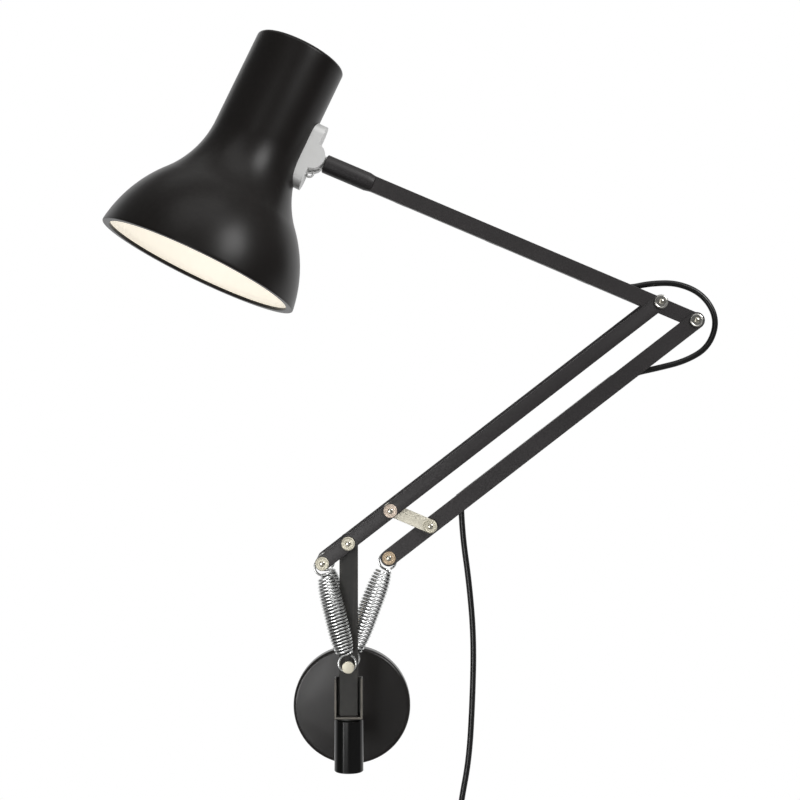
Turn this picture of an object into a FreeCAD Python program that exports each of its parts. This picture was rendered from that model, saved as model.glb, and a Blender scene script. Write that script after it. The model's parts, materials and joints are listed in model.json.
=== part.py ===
"""Articulating wall lamp: a round wall plate with a vertical socket, a swivelling post, a parallelogram arm
balanced by three extension springs, a single upper arm and a bell-shaped metal shade on a tilting knuckle.

Row frame, millimetres: the origin is the centre of the wall plate's back face, +Z is up, +X is to the right seen
from the front, and the wall is the plane Y = 0 with the whole lamp on its -Y side.  The arms lie in planes parallel
to the wall.  Depth in front of the swivel axis is written `v`, so that Y = -(ARM_OUT + v).
"""
import FreeCAD
import Part
import math
import os

V = FreeCAD.Vector
os.makedirs("parts", exist_ok=True)

# ---- driving dimensions ------------------------------------------------------------------------------------------
ARM_OUT = 70.0            # wall to swivel axis

PLATE_R = 37.2            # wall plate cover
PLATE_DEPTH = 10.0
PLATE_WALL = 1.4
BACK_R = 33.0             # fixing plate under the cover
BACK_THICK = 2.0
FIXING_SPACING = 48.0     # two wall screws, side by side
FIXING_HOLE_R = 2.25
GRUB_R = 1.0              # grub screws that hold the cover

SOCKET_R = 8.7            # vertical socket that the post turns in
SOCKET_BORE_R = 6.2
SOCKET_TOP = 3.1
SOCKET_BOTTOM = -28.1
SPIGOT_R = 5.0
POST_PIN_R = 2.2          # pivot pin of the twin bars
RUNNING = 0.05            # radial clearance of every pin that turns
STEM_R = 6.0
STEM_Z = -12.5

BRACKET_W = 16.8          # outer fork of the post
BRACKET_TOP = 28.9
SHEET = 1.2
POST_W = 11.0             # inner channel of the post
POST_BACK, POST_FRONT = 2.0, 6.0

BAR_ANGLE = 37.7          # both lower bars, above the horizontal
LINK_ANGLE = -23.0        # link, and the upper arm seen from the elbow
LINK = 26.0               # pin spacing of the parallelogram's short sides
POST_PIVOT = (0.0, 109.7)
BASE_PIN = (0.0, 36.4)
TAIL = 19.4               # post pivot to the spring pin on the bars' lower end
LINK_AT = 31.5            # post pivot to the link's pin
REACH = 233.5             # post pivot to elbow pin
UPPER_REACH = 225.0       # elbow pin to the shade's tilt axis

BAR_W = 8.6               # twin lower bars
BAR_THICK = 2.2
TENSION_W = 10.0          # single lower bar, a shallow channel
UPPER_W = 9.5             # upper arm, a channel

SPRING_WIRE = 1.1
SPRING_MEAN_R = 6.25
SPRING_TURNS = 24
LOOP_MEAN_R = 5.1
SPRING_TAPER = 0.3        # share of its radius that the barrel loses towards its ends
SPRING_TAPER_POWER = 4    # how suddenly it loses it
HOOK_GAP = 0.30           # between a hook and its pin
HOOK_FLANGE_R = 2.6       # flange that keeps a hook on its pin
WOUND_SIDES = 6           # section of the wound wire and of the coiled lead, which keeps their many turns light
FRONT_SPRING_V = 13.2     # depth of each spring's own plane
MIDDLE_SPRING_V = -5.2
REAR_SPRING_V = -19.0

FRONT_BAR_V = (14.3, 16.5)
REAR_BAR_V = (-22.3, -20.1)
TENSION_V = (-2.6, -0.4)
TENSION_DEPTH = 6.6       # web front to flange edge
LINK_V = (0.0, 1.8)
UPPER_V = (-9.0, -3.0)
TIP_V = -6.0              # axis of the round arm tip, the knuckle and the shade

PIN_R = 2.0
HEAD_R = 4.05
HEAD_H = 1.5              # to the top of the button
HEAD_DISC = 0.9
BUTTON_R = 1.7

TIP_R = 5.7               # round end of the upper arm
TIP_START, TIP_END = 8.4, 40.0
TIP_TAPER = 4.0           # length of the cone at its inner end
TIP_TAPER_R = 5.0
STUB_R = 3.6
STUB_LENGTH = 16.0
ROLL = 6.5                # the shade's mouth is turned this far towards the viewer

SHADE_NECK_R = 28.5
SHADE_NECK = 61.0         # straight part of the shade, from its closed top
FLARE_R = 61.3            # concave sweep below the neck
BELL_R = 84.2             # convex sweep of the bell
FLARE_ANGLE = 40.3
RIM_ANGLE = 7.2
SHADE_WALL = 1.2
RIM_LIP = 3.2
TOP_ROUND = 2.5
KNUCKLE_H = 56.4          # tilt axis below the shade's top
KNUCKLE_OUT = 33.6        # tilt axis from the shade's own axis
SHADE_TURN = 1.9          # shade axis past square to the upper arm
PAD_LENGTH = 41.5
PAD_W = 16.0
PAD_END_R = 7.0           # its rounded corners
PAD_OUT = 34.6            # outer face of the pad, from the shade's axis
CHEEK_R = 7.9             # round cheeks of the pad, flush with its sides
FORK_GAP = 4.6            # between the cheeks
TONGUE = 4.0              # thickness of the yoke between them
TONGUE_R = 4.4            # its round end
SHANK_W = 8.0
TILT_PIN_R = 1.5
TILT_PIN_LENGTH = 12.0
PAD_SCREWS = 12.5         # screws above and below the tilt axis
PAD_SCREW_R = 1.3
EYELET_ANGLE = -75.0      # ring for the lead, seen from the tilt axis, 0 being straight out of the pad
EYELET_AT = 9.3
EYELET_R = 2.3
EYELET_WIRE_R = 0.7

BULB_R = 22.5             # round lamp
BULB_H = 68.0             # its centre, below the shade's top
BULB_NECK_R = 9.0
BULB_SWEEP_R = 12.0
BULB_TOP = 36.2           # where its neck meets the screw cap

CORD_R = 1.8
CORD_V = -4.8             # depth of the lead inside the single bar's channel
ARM_LEAD_V = -6.6         # and inside the upper arm's
COIL_MEAN_R = 20.0
COIL_STEP = 4.1           # from turn to turn and from layer to layer
COIL_LAYERS = 4
COIL_LAYER_TURNS = 2


# ---- small helpers -----------------------------------------------------------------------------------------------
def at(xz, v):
    """Point at (x, z) in the plane of depth v."""
    return V(xz[0], -(ARM_OUT + v), xz[1])


def polar(origin, angle, distance):
    """Point at a distance from origin, angle in degrees above +X."""
    a = math.radians(angle)
    return (origin[0] + distance * math.cos(a), origin[1] + distance * math.sin(a))


def rod(xz, v0, v1, r):
    """Round rod between two depths."""
    low, high = min(v0, v1), max(v0, v1)
    return Part.makeCylinder(r, high - low, at(xz, high), V(0, 1, 0))


def tube(xz, v0, v1, r, bore):
    return rod(xz, v0, v1, r).cut(rod(xz, v0, v1, bore))


def strip(p, q, width, v0, v1, extra=0.0):
    """Flat bar with round ends, from p to q, between two depths."""
    r = width / 2 + extra
    dx, dz = q[0] - p[0], q[1] - p[1]
    length = math.hypot(dx, dz)
    ux, uz = dx / length, dz / length
    nx, nz = -uz, ux
    y = max(v0, v1)
    a1, a2 = (p[0] + nx * r, p[1] + nz * r), (q[0] + nx * r, q[1] + nz * r)
    b1, b2 = (p[0] - nx * r, p[1] - nz * r), (q[0] - nx * r, q[1] - nz * r)
    tip_q, tip_p = (q[0] + ux * r, q[1] + uz * r), (p[0] - ux * r, p[1] - uz * r)
    wire = Part.Wire([
        Part.LineSegment(at(a1, y), at(a2, y)).toShape(),
        Part.Arc(at(a2, y), at(tip_q, y), at(b2, y)).toShape(),
        Part.LineSegment(at(b2, y), at(b1, y)).toShape(),
        Part.Arc(at(b1, y), at(tip_p, y), at(a1, y)).toShape(),
    ])
    return Part.Face(wire).extrude(V(0, abs(v1 - v0), 0))


def block_along(p, angle, s0, s1, n0, n1, v0, v1):
    """Box measured along a bar: s along it from p, n square to it, v in depth."""
    box = Part.makeBox(s1 - s0, abs(v1 - v0), n1 - n0, V(s0, 0, n0))
    box.rotate(V(0, 0, 0), V(0, 1, 0), -angle)
    box.translate(at(p, max(v0, v1)))
    return box


def rivet_head(xz, v, outwards=1):
    """Rivet head standing on depth v, towards the front or the back: a flat disc with a bevelled edge and a low
    round button in its middle."""
    axis = V(0, -outwards, 0)
    foot = at(xz, v)
    disc = Part.makeCylinder(HEAD_R, HEAD_DISC, foot, axis)
    outer_edge = [e for e in disc.Edges if e.Closed and (e.CenterOfMass - foot).Length > HEAD_DISC / 2]
    disc = disc.makeChamfer(0.3, outer_edge)
    rise = HEAD_H - HEAD_DISC
    ball_r = (BUTTON_R ** 2 + rise ** 2) / (2 * rise)
    ball = Part.makeSphere(ball_r, foot + axis * (HEAD_H - ball_r))
    button = Part.makeCylinder(BUTTON_R, HEAD_H, foot, axis).common(ball)
    return disc.fuse(button)


def fuse(*shapes):
    body = shapes[0]
    for other in shapes[1:]:
        body = body.fuse(other)
    return body.removeSplitter()


def save(name, shape):
    shape.exportStep("parts/%s.step" % name)
    print("%-22s solids %d  volume %9.1f  valid %s" % (name, len(shape.Solids), shape.Volume, shape.isValid()))


# ---- pins of the mechanism, as (x, z) ----------------------------------------------------------------------------
SPRING_PIN = polar(POST_PIVOT, BAR_ANGLE + 180, TAIL)
LINK_PIN = polar(POST_PIVOT, BAR_ANGLE, LINK_AT)
ELBOW = polar(POST_PIVOT, BAR_ANGLE, REACH)
TENSION_TOP = polar(ELBOW, LINK_ANGLE, LINK)
TENSION_LINK = polar(LINK_PIN, LINK_ANGLE, LINK)
TENSION_FOOT = polar(POST_PIVOT, LINK_ANGLE, LINK)
KNUCKLE = polar(ELBOW, LINK_ANGLE + 180, UPPER_REACH)


# ---- wall plate and socket ---------------------------------------------------------------------------------------
def wall_plate_cover():
    """Shallow round dish with a rounded front edge and a hole for the stem."""
    edge, inner = 2.2, PLATE_R - PLATE_WALL
    dish = Part.makeCylinder(PLATE_R, PLATE_DEPTH, V(0, 0, 0), V(0, -1, 0))
    front_edge = [e for e in dish.Edges if abs(e.CenterOfMass.y + PLATE_DEPTH) < 0.01 and e.Closed]
    dish = dish.makeFillet(edge, front_edge)
    dish = dish.cut(Part.makeCylinder(inner, PLATE_DEPTH - PLATE_WALL, V(0, 0, 0), V(0, -1, 0)))
    dish = dish.cut(Part.makeCylinder(STEM_R + 0.3, 2 * PLATE_DEPTH, V(0, 0, STEM_Z), V(0, -1, 0)))
    hole_foot = V(0, -PLATE_DEPTH / 2, -PLATE_R)
    return dish.cut(Part.makeCylinder(GRUB_R + RUNNING, 2 * PLATE_R, hole_foot, V(0, 0, 1)))


def wall_plate_back():
    """Flat fixing plate with two wall screw holes and a cable hole in its middle."""
    plate = Part.makeCylinder(BACK_R, BACK_THICK, V(0, 0, 0), V(0, -1, 0))
    for x in (-FIXING_SPACING / 2, FIXING_SPACING / 2):
        plate = plate.cut(Part.makeCylinder(FIXING_HOLE_R, BACK_THICK, V(x, 0, 0), V(0, -1, 0)))
    for x in (-8.0, 8.0):
        plate = plate.cut(Part.makeCylinder(1.6, BACK_THICK, V(x, 0, STEM_Z), V(0, -1, 0)))
    return plate


def socket_arm():
    """Stem from the fixing plate to the vertical socket, with its foot flange."""
    stem = Part.makeCylinder(STEM_R, ARM_OUT - BACK_THICK, V(0, -BACK_THICK, STEM_Z), V(0, -1, 0))
    flange = Part.makeCylinder(12.0, 3.0, V(0, -BACK_THICK, STEM_Z), V(0, -1, 0))
    for x in (-8.0, 8.0):
        flange = flange.cut(Part.makeCylinder(1.2, 3.0, V(x, -BACK_THICK, STEM_Z), V(0, -1, 0)))
    height = SOCKET_TOP - SOCKET_BOTTOM
    sleeve = Part.makeCylinder(SOCKET_R, height, V(0, -ARM_OUT, SOCKET_BOTTOM))
    rims = [e for e in sleeve.Edges if e.Closed]
    sleeve = sleeve.makeChamfer(0.5, rims)
    bore = Part.makeCylinder(SOCKET_BORE_R, height, V(0, -ARM_OUT, SOCKET_BOTTOM))
    return fuse(stem, flange, sleeve).cut(bore)


def socket_bush():
    """Plastic liner that the spigot turns in."""
    foot = V(0, -ARM_OUT, SOCKET_BOTTOM + 3.0)
    height = SOCKET_TOP - foot.z
    liner = Part.makeCylinder(SOCKET_BORE_R, height, foot)
    return liner.cut(Part.makeCylinder(SPIGOT_R + RUNNING, height, foot))


def socket_cap():
    return Part.makeCylinder(SOCKET_BORE_R, 2.4, V(0, -ARM_OUT, SOCKET_BOTTOM + 0.4))


def stem_screws():
    """Two screws through the fixing plate into the stem's flange."""
    screws = []
    for x in (-8.0, 8.0):
        screws.append(Part.makeCylinder(1.2, 4.6, V(x, -0.2, STEM_Z), V(0, -1, 0)))
    return Part.makeCompound(screws)


def cover_screws():
    """Two small grub screws in the cover's rim, above and below."""
    screws = []
    for side in (-1, 1):
        foot = V(0, -PLATE_DEPTH / 2, side * (PLATE_R - PLATE_WALL - 1.2))
        screws.append(Part.makeCylinder(GRUB_R, 2.5, foot, V(0, 0, side)))
    return Part.makeCompound(screws)


# ---- post --------------------------------------------------------------------------------------------------------
def spigot():
    """Steel pin that drops into the socket, with its collar."""
    pin = Part.makeCylinder(SPIGOT_R, SOCKET_TOP + 24.0, V(0, -ARM_OUT, -24.0))
    groove = Part.makeCylinder(SPIGOT_R + 1, 1.4, V(0, -ARM_OUT, -20.0))
    groove = groove.cut(Part.makeCylinder(SPIGOT_R - 0.7, 1.4, V(0, -ARM_OUT, -20.0)))
    collar = Part.makeCylinder(8.2, 1.3, V(0, -ARM_OUT, SOCKET_TOP + 0.3))
    neck = Part.makeCylinder(SPIGOT_R, 0.3, V(0, -ARM_OUT, SOCKET_TOP))
    return fuse(pin.cut(groove), neck, collar)


def swivel_bracket():
    """Outer fork of bent sheet, open to the front: back web, two flanges and a base plate."""
    half, base = BRACKET_W / 2, SOCKET_TOP + 1.6
    back, front = POST_BACK - SHEET, 9.5
    height = BRACKET_TOP - base
    outer = Part.makeBox(2 * half, front - back, height, V(-half, -(ARM_OUT + front), base))
    hollow = Part.makeBox(2 * (half - SHEET), front - back - SHEET, height - SHEET + 1,
                          V(-half + SHEET, -(ARM_OUT + front), base + SHEET))
    tray = Part.makeBox(2 * half, front + 7.0, SHEET, V(-half, -(ARM_OUT + front), base))
    round_tray = Part.makeCylinder(9.6, SHEET, V(0, -(ARM_OUT + 1.2), base))
    bracket = fuse(outer.cut(hollow), tray.common(round_tray))
    for side in (-1, 1):
        corner = Part.makeBox(4.0, 30.0, 4.0, V(-2.0, -15.0, -2.0))
        corner.rotate(V(0, 0, 0), V(0, 1, 0), 45)
        corner.translate(V(side * (half + 1.3), -(ARM_OUT + 4.0), BRACKET_TOP + 1.3))
        bracket = bracket.cut(corner)
    return bracket


def post_channel():
    """Inner channel: a front web with flanges behind it, rounded at the top round the pivot."""
    foot = (0.0, SOCKET_TOP + 1.6 + SHEET)
    half = POST_W / 2
    outline = strip(foot, POST_PIVOT, POST_W, POST_BACK, POST_FRONT)
    below = Part.makeBox(40, 60, 20, V(-20, -(ARM_OUT + 30), foot[1] - 20))
    outline = outline.cut(below)
    hollow = strip(foot, POST_PIVOT, POST_W - 2 * SHEET, POST_BACK, POST_FRONT - SHEET)
    post = outline.cut(hollow)
    lower_web = Part.makeBox(2 * half, SHEET, 20.0, V(-half, -(ARM_OUT + POST_BACK + SHEET), foot[1]))
    post = fuse(post, lower_web)
    for pin, r in ((POST_PIVOT, POST_PIN_R), (BASE_PIN, PIN_R)):
        post = post.cut(rod(pin, -30, 30, r))
    return post


def bracket_rivets():
    """Two flat-headed rivets that join the inner channel to the fork."""
    rivets = []
    for z in (12.0, 21.0):
        rivets.append(rod((0, z), POST_BACK - SHEET - 0.8, POST_BACK - SHEET, 2.4))
    return Part.makeCompound(rivets)


def post_pivot():
    """Pivot pin through the post's head that both twin bars turn on."""
    pin = rod(POST_PIVOT, REAR_BAR_V[0] - 0.1, FRONT_BAR_V[1] + 0.1, POST_PIN_R)
    front = rivet_head(POST_PIVOT, FRONT_BAR_V[1] + 0.1, 1)
    rear = rivet_head(POST_PIVOT, REAR_BAR_V[0] - 0.1, -1)
    return fuse(pin, front, rear)


def post_spacers():
    """Turned spacers between the post and each twin bar."""
    front = tube(POST_PIVOT, POST_FRONT, FRONT_BAR_V[0] - 0.1, 3.6, POST_PIN_R)
    rear = tube(POST_PIVOT, REAR_BAR_V[1] + 0.1, POST_FRONT - SHEET, 3.6, POST_PIN_R)
    return Part.makeCompound([front, rear])


def base_pin():
    """Pin at the post's foot that all three springs pull on, grooved in front for the front spring."""
    pin = rod(BASE_PIN, REAR_SPRING_V - 2.2, FRONT_SPRING_V + 1.4, PIN_R)
    front = rod(BASE_PIN, FRONT_SPRING_V + 1.4, FRONT_SPRING_V + 2.6, 3.6)
    rear = rod(BASE_PIN, REAR_SPRING_V - 3.4, REAR_SPRING_V - 2.2, 3.6)
    return fuse(pin, front, rear)


def base_pin_spacers():
    """Spacers that keep the spring hooks apart on the base pin."""
    spans = ((POST_FRONT, FRONT_SPRING_V - 1.2),
             (MIDDLE_SPRING_V + 1.2, POST_FRONT - SHEET),
             (REAR_SPRING_V + 1.2, MIDDLE_SPRING_V - 1.2))
    return Part.makeCompound([tube(BASE_PIN, v0, v1, 3.0, PIN_R) for v0, v1 in spans])


# ---- springs and coiled lead: one unbroken wire along tangent arcs -------------------------------------------------
def arc_edge(p, tangent, q):
    """Arc from p, leaving along the tangent, to q."""
    chord = q - p
    length = chord.Length
    along = V(chord.x, chord.y, chord.z).normalize()
    cosine = max(-1.0, min(1.0, tangent.dot(along)))
    side = tangent - along * cosine
    if side.Length < 1e-6:
        return Part.LineSegment(p, q).toShape(), along
    side.normalize()
    sagitta = length / 2 * math.tan(math.acos(cosine) / 2)
    middle = (p + q) * 0.5 + side * sagitta
    leaving = along * (2 * cosine) - tangent
    return Part.Arc(p, middle, q).toShape(), leaving


def biarc(p, tp, q, tq):
    """Two tangent arcs from p, along tp, to q, along tq."""
    chord = q - p
    both = tp + tq
    a = 2 * (1 - tp.dot(tq))
    b = 2 * chord.dot(both)
    c = -chord.dot(chord)
    d = -c / b if a < 1e-9 else (-b + math.sqrt(b * b - 4 * a * c)) / (2 * a)
    joint = (p + tp * d + q - tq * d) * 0.5
    first, middle_tangent = arc_edge(p, tp, joint)
    second, _ = arc_edge(joint, middle_tangent, q)
    return [first, second]


def wire_through(stations):
    """Wire of biarcs through stations, each a point and a unit direction."""
    edges = []
    for (p, tp), (q, tq) in zip(stations[:-1], stations[1:]):
        edges += biarc(p, tp, q, tq)
    return Part.Wire(edges)


def least_gap(path, diameter, label):
    """Prints the least gap between stretches of a coiled wire that aren't neighbours along it."""
    count = max(600, int(path.Length / 1.3))
    points = path.discretize(count)
    step = path.Length / (count - 1)
    skip = int(2.2 * diameter / step) + 1
    least = 1e9
    for i in range(0, count - skip):
        p = points[i]
        for j in range(i + skip, min(count, i + int(160 / step))):
            least = min(least, p.distanceToPoint(points[j]))
    print("%s: length %.1f, least gap to itself %.2f" % (label, path.Length, least - diameter))


def swept(path, radius, sides=0):
    """Tube along a wire: round, or with a polygon of that many sides as its section."""
    start = path.Edges[0]
    first = start.valueAt(start.FirstParameter)
    direction = start.tangentAt(start.FirstParameter)
    if sides:
        u = direction.cross(V(0, 1, 0)).normalize()
        w = direction.cross(u)
        turns = [2 * math.pi * k / sides for k in range(sides + 1)]
        ring = Part.makePolygon([first + u * (radius * math.cos(a)) + w * (radius * math.sin(a)) for a in turns])
    else:
        ring = Part.Wire(Part.makeCircle(radius, first, direction))
    return path.makePipeShell([ring], True, False)


def spring(top_pin, v):
    """Extension spring from the base pin to a bar's spring pin: hook ring, crossover, coils, crossover, hook ring."""
    run = V(top_pin[0] - BASE_PIN[0], 0, top_pin[1] - BASE_PIN[1])
    length = run.Length
    w = V(run.x, 0, run.z).normalize()
    depth = V(0, -1, 0)
    u = depth.cross(w)
    origin = at(BASE_PIN, v)

    def point(s, a, b):
        return origin + w * s + u * a + depth * b

    def direction(s, a, b):
        return (w * s + u * a + depth * b).normalize()

    reach = PIN_R + SPRING_WIRE / 2 + HOOK_GAP
    low_ring = LOOP_MEAN_R - reach
    high_ring = length + reach - LOOP_MEAN_R
    coil_start = low_ring + LOOP_MEAN_R + 1.3
    coil_end = high_ring - LOOP_MEAN_R - 1.3
    pitch = (coil_end - coil_start) / SPRING_TURNS
    stations = []
    for angle in (-230, -140, -50, 40, 90):
        a = math.radians(angle)
        stations.append((point(low_ring + LOOP_MEAN_R * math.sin(a), LOOP_MEAN_R * math.cos(a), 0),
                         direction(math.cos(a), -math.sin(a), 0)))

    def on_barrel(turn):
        ends = abs(2 * turn / SPRING_TURNS - 1) ** SPRING_TAPER_POWER
        r = SPRING_MEAN_R * (1 - SPRING_TAPER * ends)
        a = 2 * math.pi * turn + math.pi
        return point(coil_start + pitch * turn, r * math.cos(a), r * math.sin(a))

    for k in range(0, 4 * SPRING_TURNS + 1):
        turn = k / 4
        ahead = on_barrel(turn + 1e-3) - on_barrel(turn - 1e-3)
        stations.append((on_barrel(turn), ahead.normalize()))
    for angle in (-90, -40, 50, 140, 230):
        a = math.radians(angle)
        stations.append((point(high_ring + LOOP_MEAN_R * math.sin(a), LOOP_MEAN_R * math.cos(a), 0),
                         direction(math.cos(a), -math.sin(a), 0)))
    path = wire_through(stations)
    least_gap(path, SPRING_WIRE, "spring at depth %.1f, %d turns, pitch %.2f" % (v, SPRING_TURNS, pitch))
    return swept(path, SPRING_WIRE / 2, WOUND_SIDES)


# ---- twin lower bars ---------------------------------------------------------------------------------------------
def twin_bar(v0, v1):
    """One flat bar of the pair, with its four pin holes."""
    bar = strip(SPRING_PIN, ELBOW, BAR_W, v0, v1)
    for pin, r in ((SPRING_PIN, PIN_R), (POST_PIVOT, POST_PIN_R + RUNNING), (LINK_PIN, PIN_R), (ELBOW, PIN_R)):
        bar = bar.cut(rod(pin, v0 - 1, v1 + 1, r))
    return bar


def spring_pins():
    """Short pins on the lower ends of the twin bars, each with a head outside and a flange inside."""
    front = fuse(rod(SPRING_PIN, FRONT_SPRING_V - 1.2, FRONT_BAR_V[1], PIN_R),
                 rod(SPRING_PIN, FRONT_SPRING_V - 2.2, FRONT_SPRING_V - 1.2, HOOK_FLANGE_R),
                 rivet_head(SPRING_PIN, FRONT_BAR_V[1], 1))
    rear = fuse(rod(SPRING_PIN, REAR_BAR_V[0], REAR_SPRING_V + 1.2, PIN_R),
                rod(SPRING_PIN, REAR_SPRING_V + 1.2, REAR_SPRING_V + 2.2, HOOK_FLANGE_R),
                rivet_head(SPRING_PIN, REAR_BAR_V[0], -1))
    return Part.makeCompound([front, rear])


def long_pin(xz):
    """Pin across both twin bars, with a domed head on each side."""
    return fuse(rod(xz, REAR_BAR_V[0], FRONT_BAR_V[1], PIN_R),
                rivet_head(xz, FRONT_BAR_V[1], 1),
                rivet_head(xz, REAR_BAR_V[0], -1))


def bar_spacers():
    """Spacers on the link pin and the elbow pin, from each twin bar to the piece between them."""
    gap = 0.2
    spans = ((LINK_PIN, LINK_V[1] + gap, FRONT_BAR_V[0]),
             (LINK_PIN, REAR_BAR_V[1], LINK_V[0] - gap),
             (ELBOW, UPPER_V[1] + gap, FRONT_BAR_V[0]),
             (ELBOW, REAR_BAR_V[1], UPPER_V[0] - gap))
    return Part.makeCompound([tube(pin, v0, v1, 3.2, PIN_R) for pin, v0, v1 in spans])


# ---- link and single lower bar ------------------------------------------------------------------------------------
def link_plate():
    link = strip(LINK_PIN, TENSION_LINK, 8.2, LINK_V[0], LINK_V[1])
    link = link.cut(rod(LINK_PIN, -1, 3, PIN_R + RUNNING))
    return link.cut(rod(TENSION_LINK, -1, 3, PIN_R))


def link_stud():
    """Rivet fixed in the link that the single bar turns on."""
    back = TENSION_V[0] - 0.2
    return fuse(rod(TENSION_LINK, back, LINK_V[1], PIN_R),
                rivet_head(TENSION_LINK, LINK_V[1], 1),
                rod(TENSION_LINK, back - 0.7, back, 3.2))


CHANNEL_FROM_FOOT = 55.0
CHANNEL_FROM_TOP = 60.0
LEAD_MOUTH = 4.5          # the lower flange starts later, so that the lead can hang from the channel


def tension_bar():
    """Single lower bar: a flat web whose middle stretch has flanges behind it, a channel for the lead."""
    bar = strip(TENSION_FOOT, TENSION_TOP, TENSION_W, *TENSION_V)
    length = REACH
    back = TENSION_V[1] - TENSION_DEPTH
    half = TENSION_W / 2
    for n0, n1 in ((-half, -half + SHEET), (half - SHEET, half)):
        start = CHANNEL_FROM_FOOT + (LEAD_MOUTH if n0 < 0 else 0)
        flange = block_along(TENSION_FOOT, BAR_ANGLE, start, length - CHANNEL_FROM_TOP,
                             n0, n1, back, TENSION_V[0])
        bar = bar.fuse(flange)
    bar = bar.removeSplitter()
    for pin, r in ((TENSION_FOOT, PIN_R), (TENSION_LINK, PIN_R + RUNNING), (TENSION_TOP, PIN_R + RUNNING)):
        bar = bar.cut(rod(pin, -20, 20, r))
    return bar


def middle_spring_pin():
    """Rivet on the single bar's lower end that carries the middle spring."""
    back = MIDDLE_SPRING_V - 1.2
    return fuse(rod(TENSION_FOOT, back, TENSION_V[1], PIN_R),
                rod(TENSION_FOOT, back - 1.0, back, HOOK_FLANGE_R),
                rivet_head(TENSION_FOOT, TENSION_V[1], 1))


def clips_along(foot, angle, places, width, back):
    """Small bridges across a channel's flanges."""
    return Part.makeCompound([block_along(foot, angle, s - 4, s + 4, -width / 2, width / 2, back - 0.8, back)
                              for s in places])


def bar_clips():
    """Three clips that keep the lead in the single bar's channel."""
    places = (CHANNEL_FROM_FOOT + 12, REACH / 2, REACH - CHANNEL_FROM_TOP - 12)
    return clips_along(TENSION_FOOT, BAR_ANGLE, places, TENSION_W, TENSION_V[1] - TENSION_DEPTH)


def arm_clips():
    """Three clips that keep the lead in the upper arm's channel."""
    return clips_along(ELBOW, LINK_ANGLE, (-165, -105, -45), UPPER_W, UPPER_V[0])


# ---- upper arm ---------------------------------------------------------------------------------------------------
def upper_channel():
    """Upper arm: a channel open at the back, rounded at the elbow, with a notch where the lead leaves it."""
    far = polar(KNUCKLE, LINK_ANGLE, TIP_END - 5.0)
    arm = strip(far, TENSION_TOP, UPPER_W, *UPPER_V)
    hollow = strip(far, TENSION_TOP, UPPER_W - 2 * SHEET, UPPER_V[0], UPPER_V[1] - SHEET)
    behind_end = block_along(TENSION_TOP, LINK_ANGLE, -LINK - 2.0, 20, -8, 8, UPPER_V[0], UPPER_V[1] - SHEET)
    notch = block_along(ELBOW, LINK_ANGLE, -25.0, -7.0, 0, 8, UPPER_V[0], UPPER_V[1] - SHEET)
    square_end = block_along(KNUCKLE, LINK_ANGLE, 0, TIP_END - 5.0, -8, 8, UPPER_V[0], UPPER_V[1])
    arm = arm.cut(hollow).cut(behind_end).cut(notch).cut(square_end)
    for pin, r in ((ELBOW, PIN_R + RUNNING), (TENSION_TOP, PIN_R)):
        arm = arm.cut(rod(pin, -20, 20, r))
    return arm


def elbow_bush():
    """Bush behind the web that the elbow pin turns in."""
    return tube(ELBOW, UPPER_V[0], UPPER_V[1] - SHEET, 3.9, PIN_R + RUNNING)


def elbow_rivet():
    """Rivet at the upper arm's end that the single lower bar turns on."""
    back = UPPER_V[1] - SHEET
    return fuse(rod(TENSION_TOP, back, TENSION_V[1] + 0.1, PIN_R),
                rivet_head(TENSION_TOP, TENSION_V[1] + 0.1, 1),
                rod(TENSION_TOP, back - 1.2, back, 3.4))


def axis_frame(shape):
    """Turns a shape built along +X at the origin onto the arm's axis, with the tilt axis at the origin."""
    shape.rotate(V(0, 0, 0), V(0, 1, 0), -LINK_ANGLE)
    shape.translate(at(KNUCKLE, TIP_V))
    return shape


def arm_tip():
    """Round end of the upper arm, coned down to the channel, bored for the yoke's stub and pocketed for the arm."""
    body = Part.makeCylinder(TIP_R, TIP_END - TIP_TAPER - TIP_START, V(TIP_START, 0, 0), V(1, 0, 0))
    open_rim = [e for e in body.Edges if e.Closed and e.CenterOfMass.x < TIP_START + 0.1]
    body = body.makeChamfer(0.4, open_rim)
    body = body.fuse(Part.makeCone(TIP_R, TIP_TAPER_R, TIP_TAPER, V(TIP_END - TIP_TAPER, 0, 0), V(1, 0, 0)))
    bore = Part.makeCylinder(STUB_R + RUNNING, STUB_LENGTH + 0.9, V(TIP_START, 0, 0), V(1, 0, 0))
    passage = Part.makeCylinder(CORD_R + 0.2, TIP_END, V(TIP_START, TIP_V - ARM_LEAD_V, 0), V(1, 0, 0))
    half_w, half_d = UPPER_W / 2, (UPPER_V[1] - UPPER_V[0]) / 2
    pocket = Part.makeBox(6.0, 2 * half_d, 2 * half_w, V(TIP_END - 5.0, -half_d, -half_w))
    return axis_frame(body.cut(bore).cut(passage).cut(pocket))


# ---- yoke: turns in the arm's tip, carries the shade's knuckle -----------------------------------------------------
def rolled(shape):
    """Turns a piece about the upper arm's axis, as the shade is turned."""
    a = math.radians(LINK_ANGLE)
    shape.rotate(at(KNUCKLE, TIP_V), V(math.cos(a), 0, math.sin(a)), -ROLL)
    return shape


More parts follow.
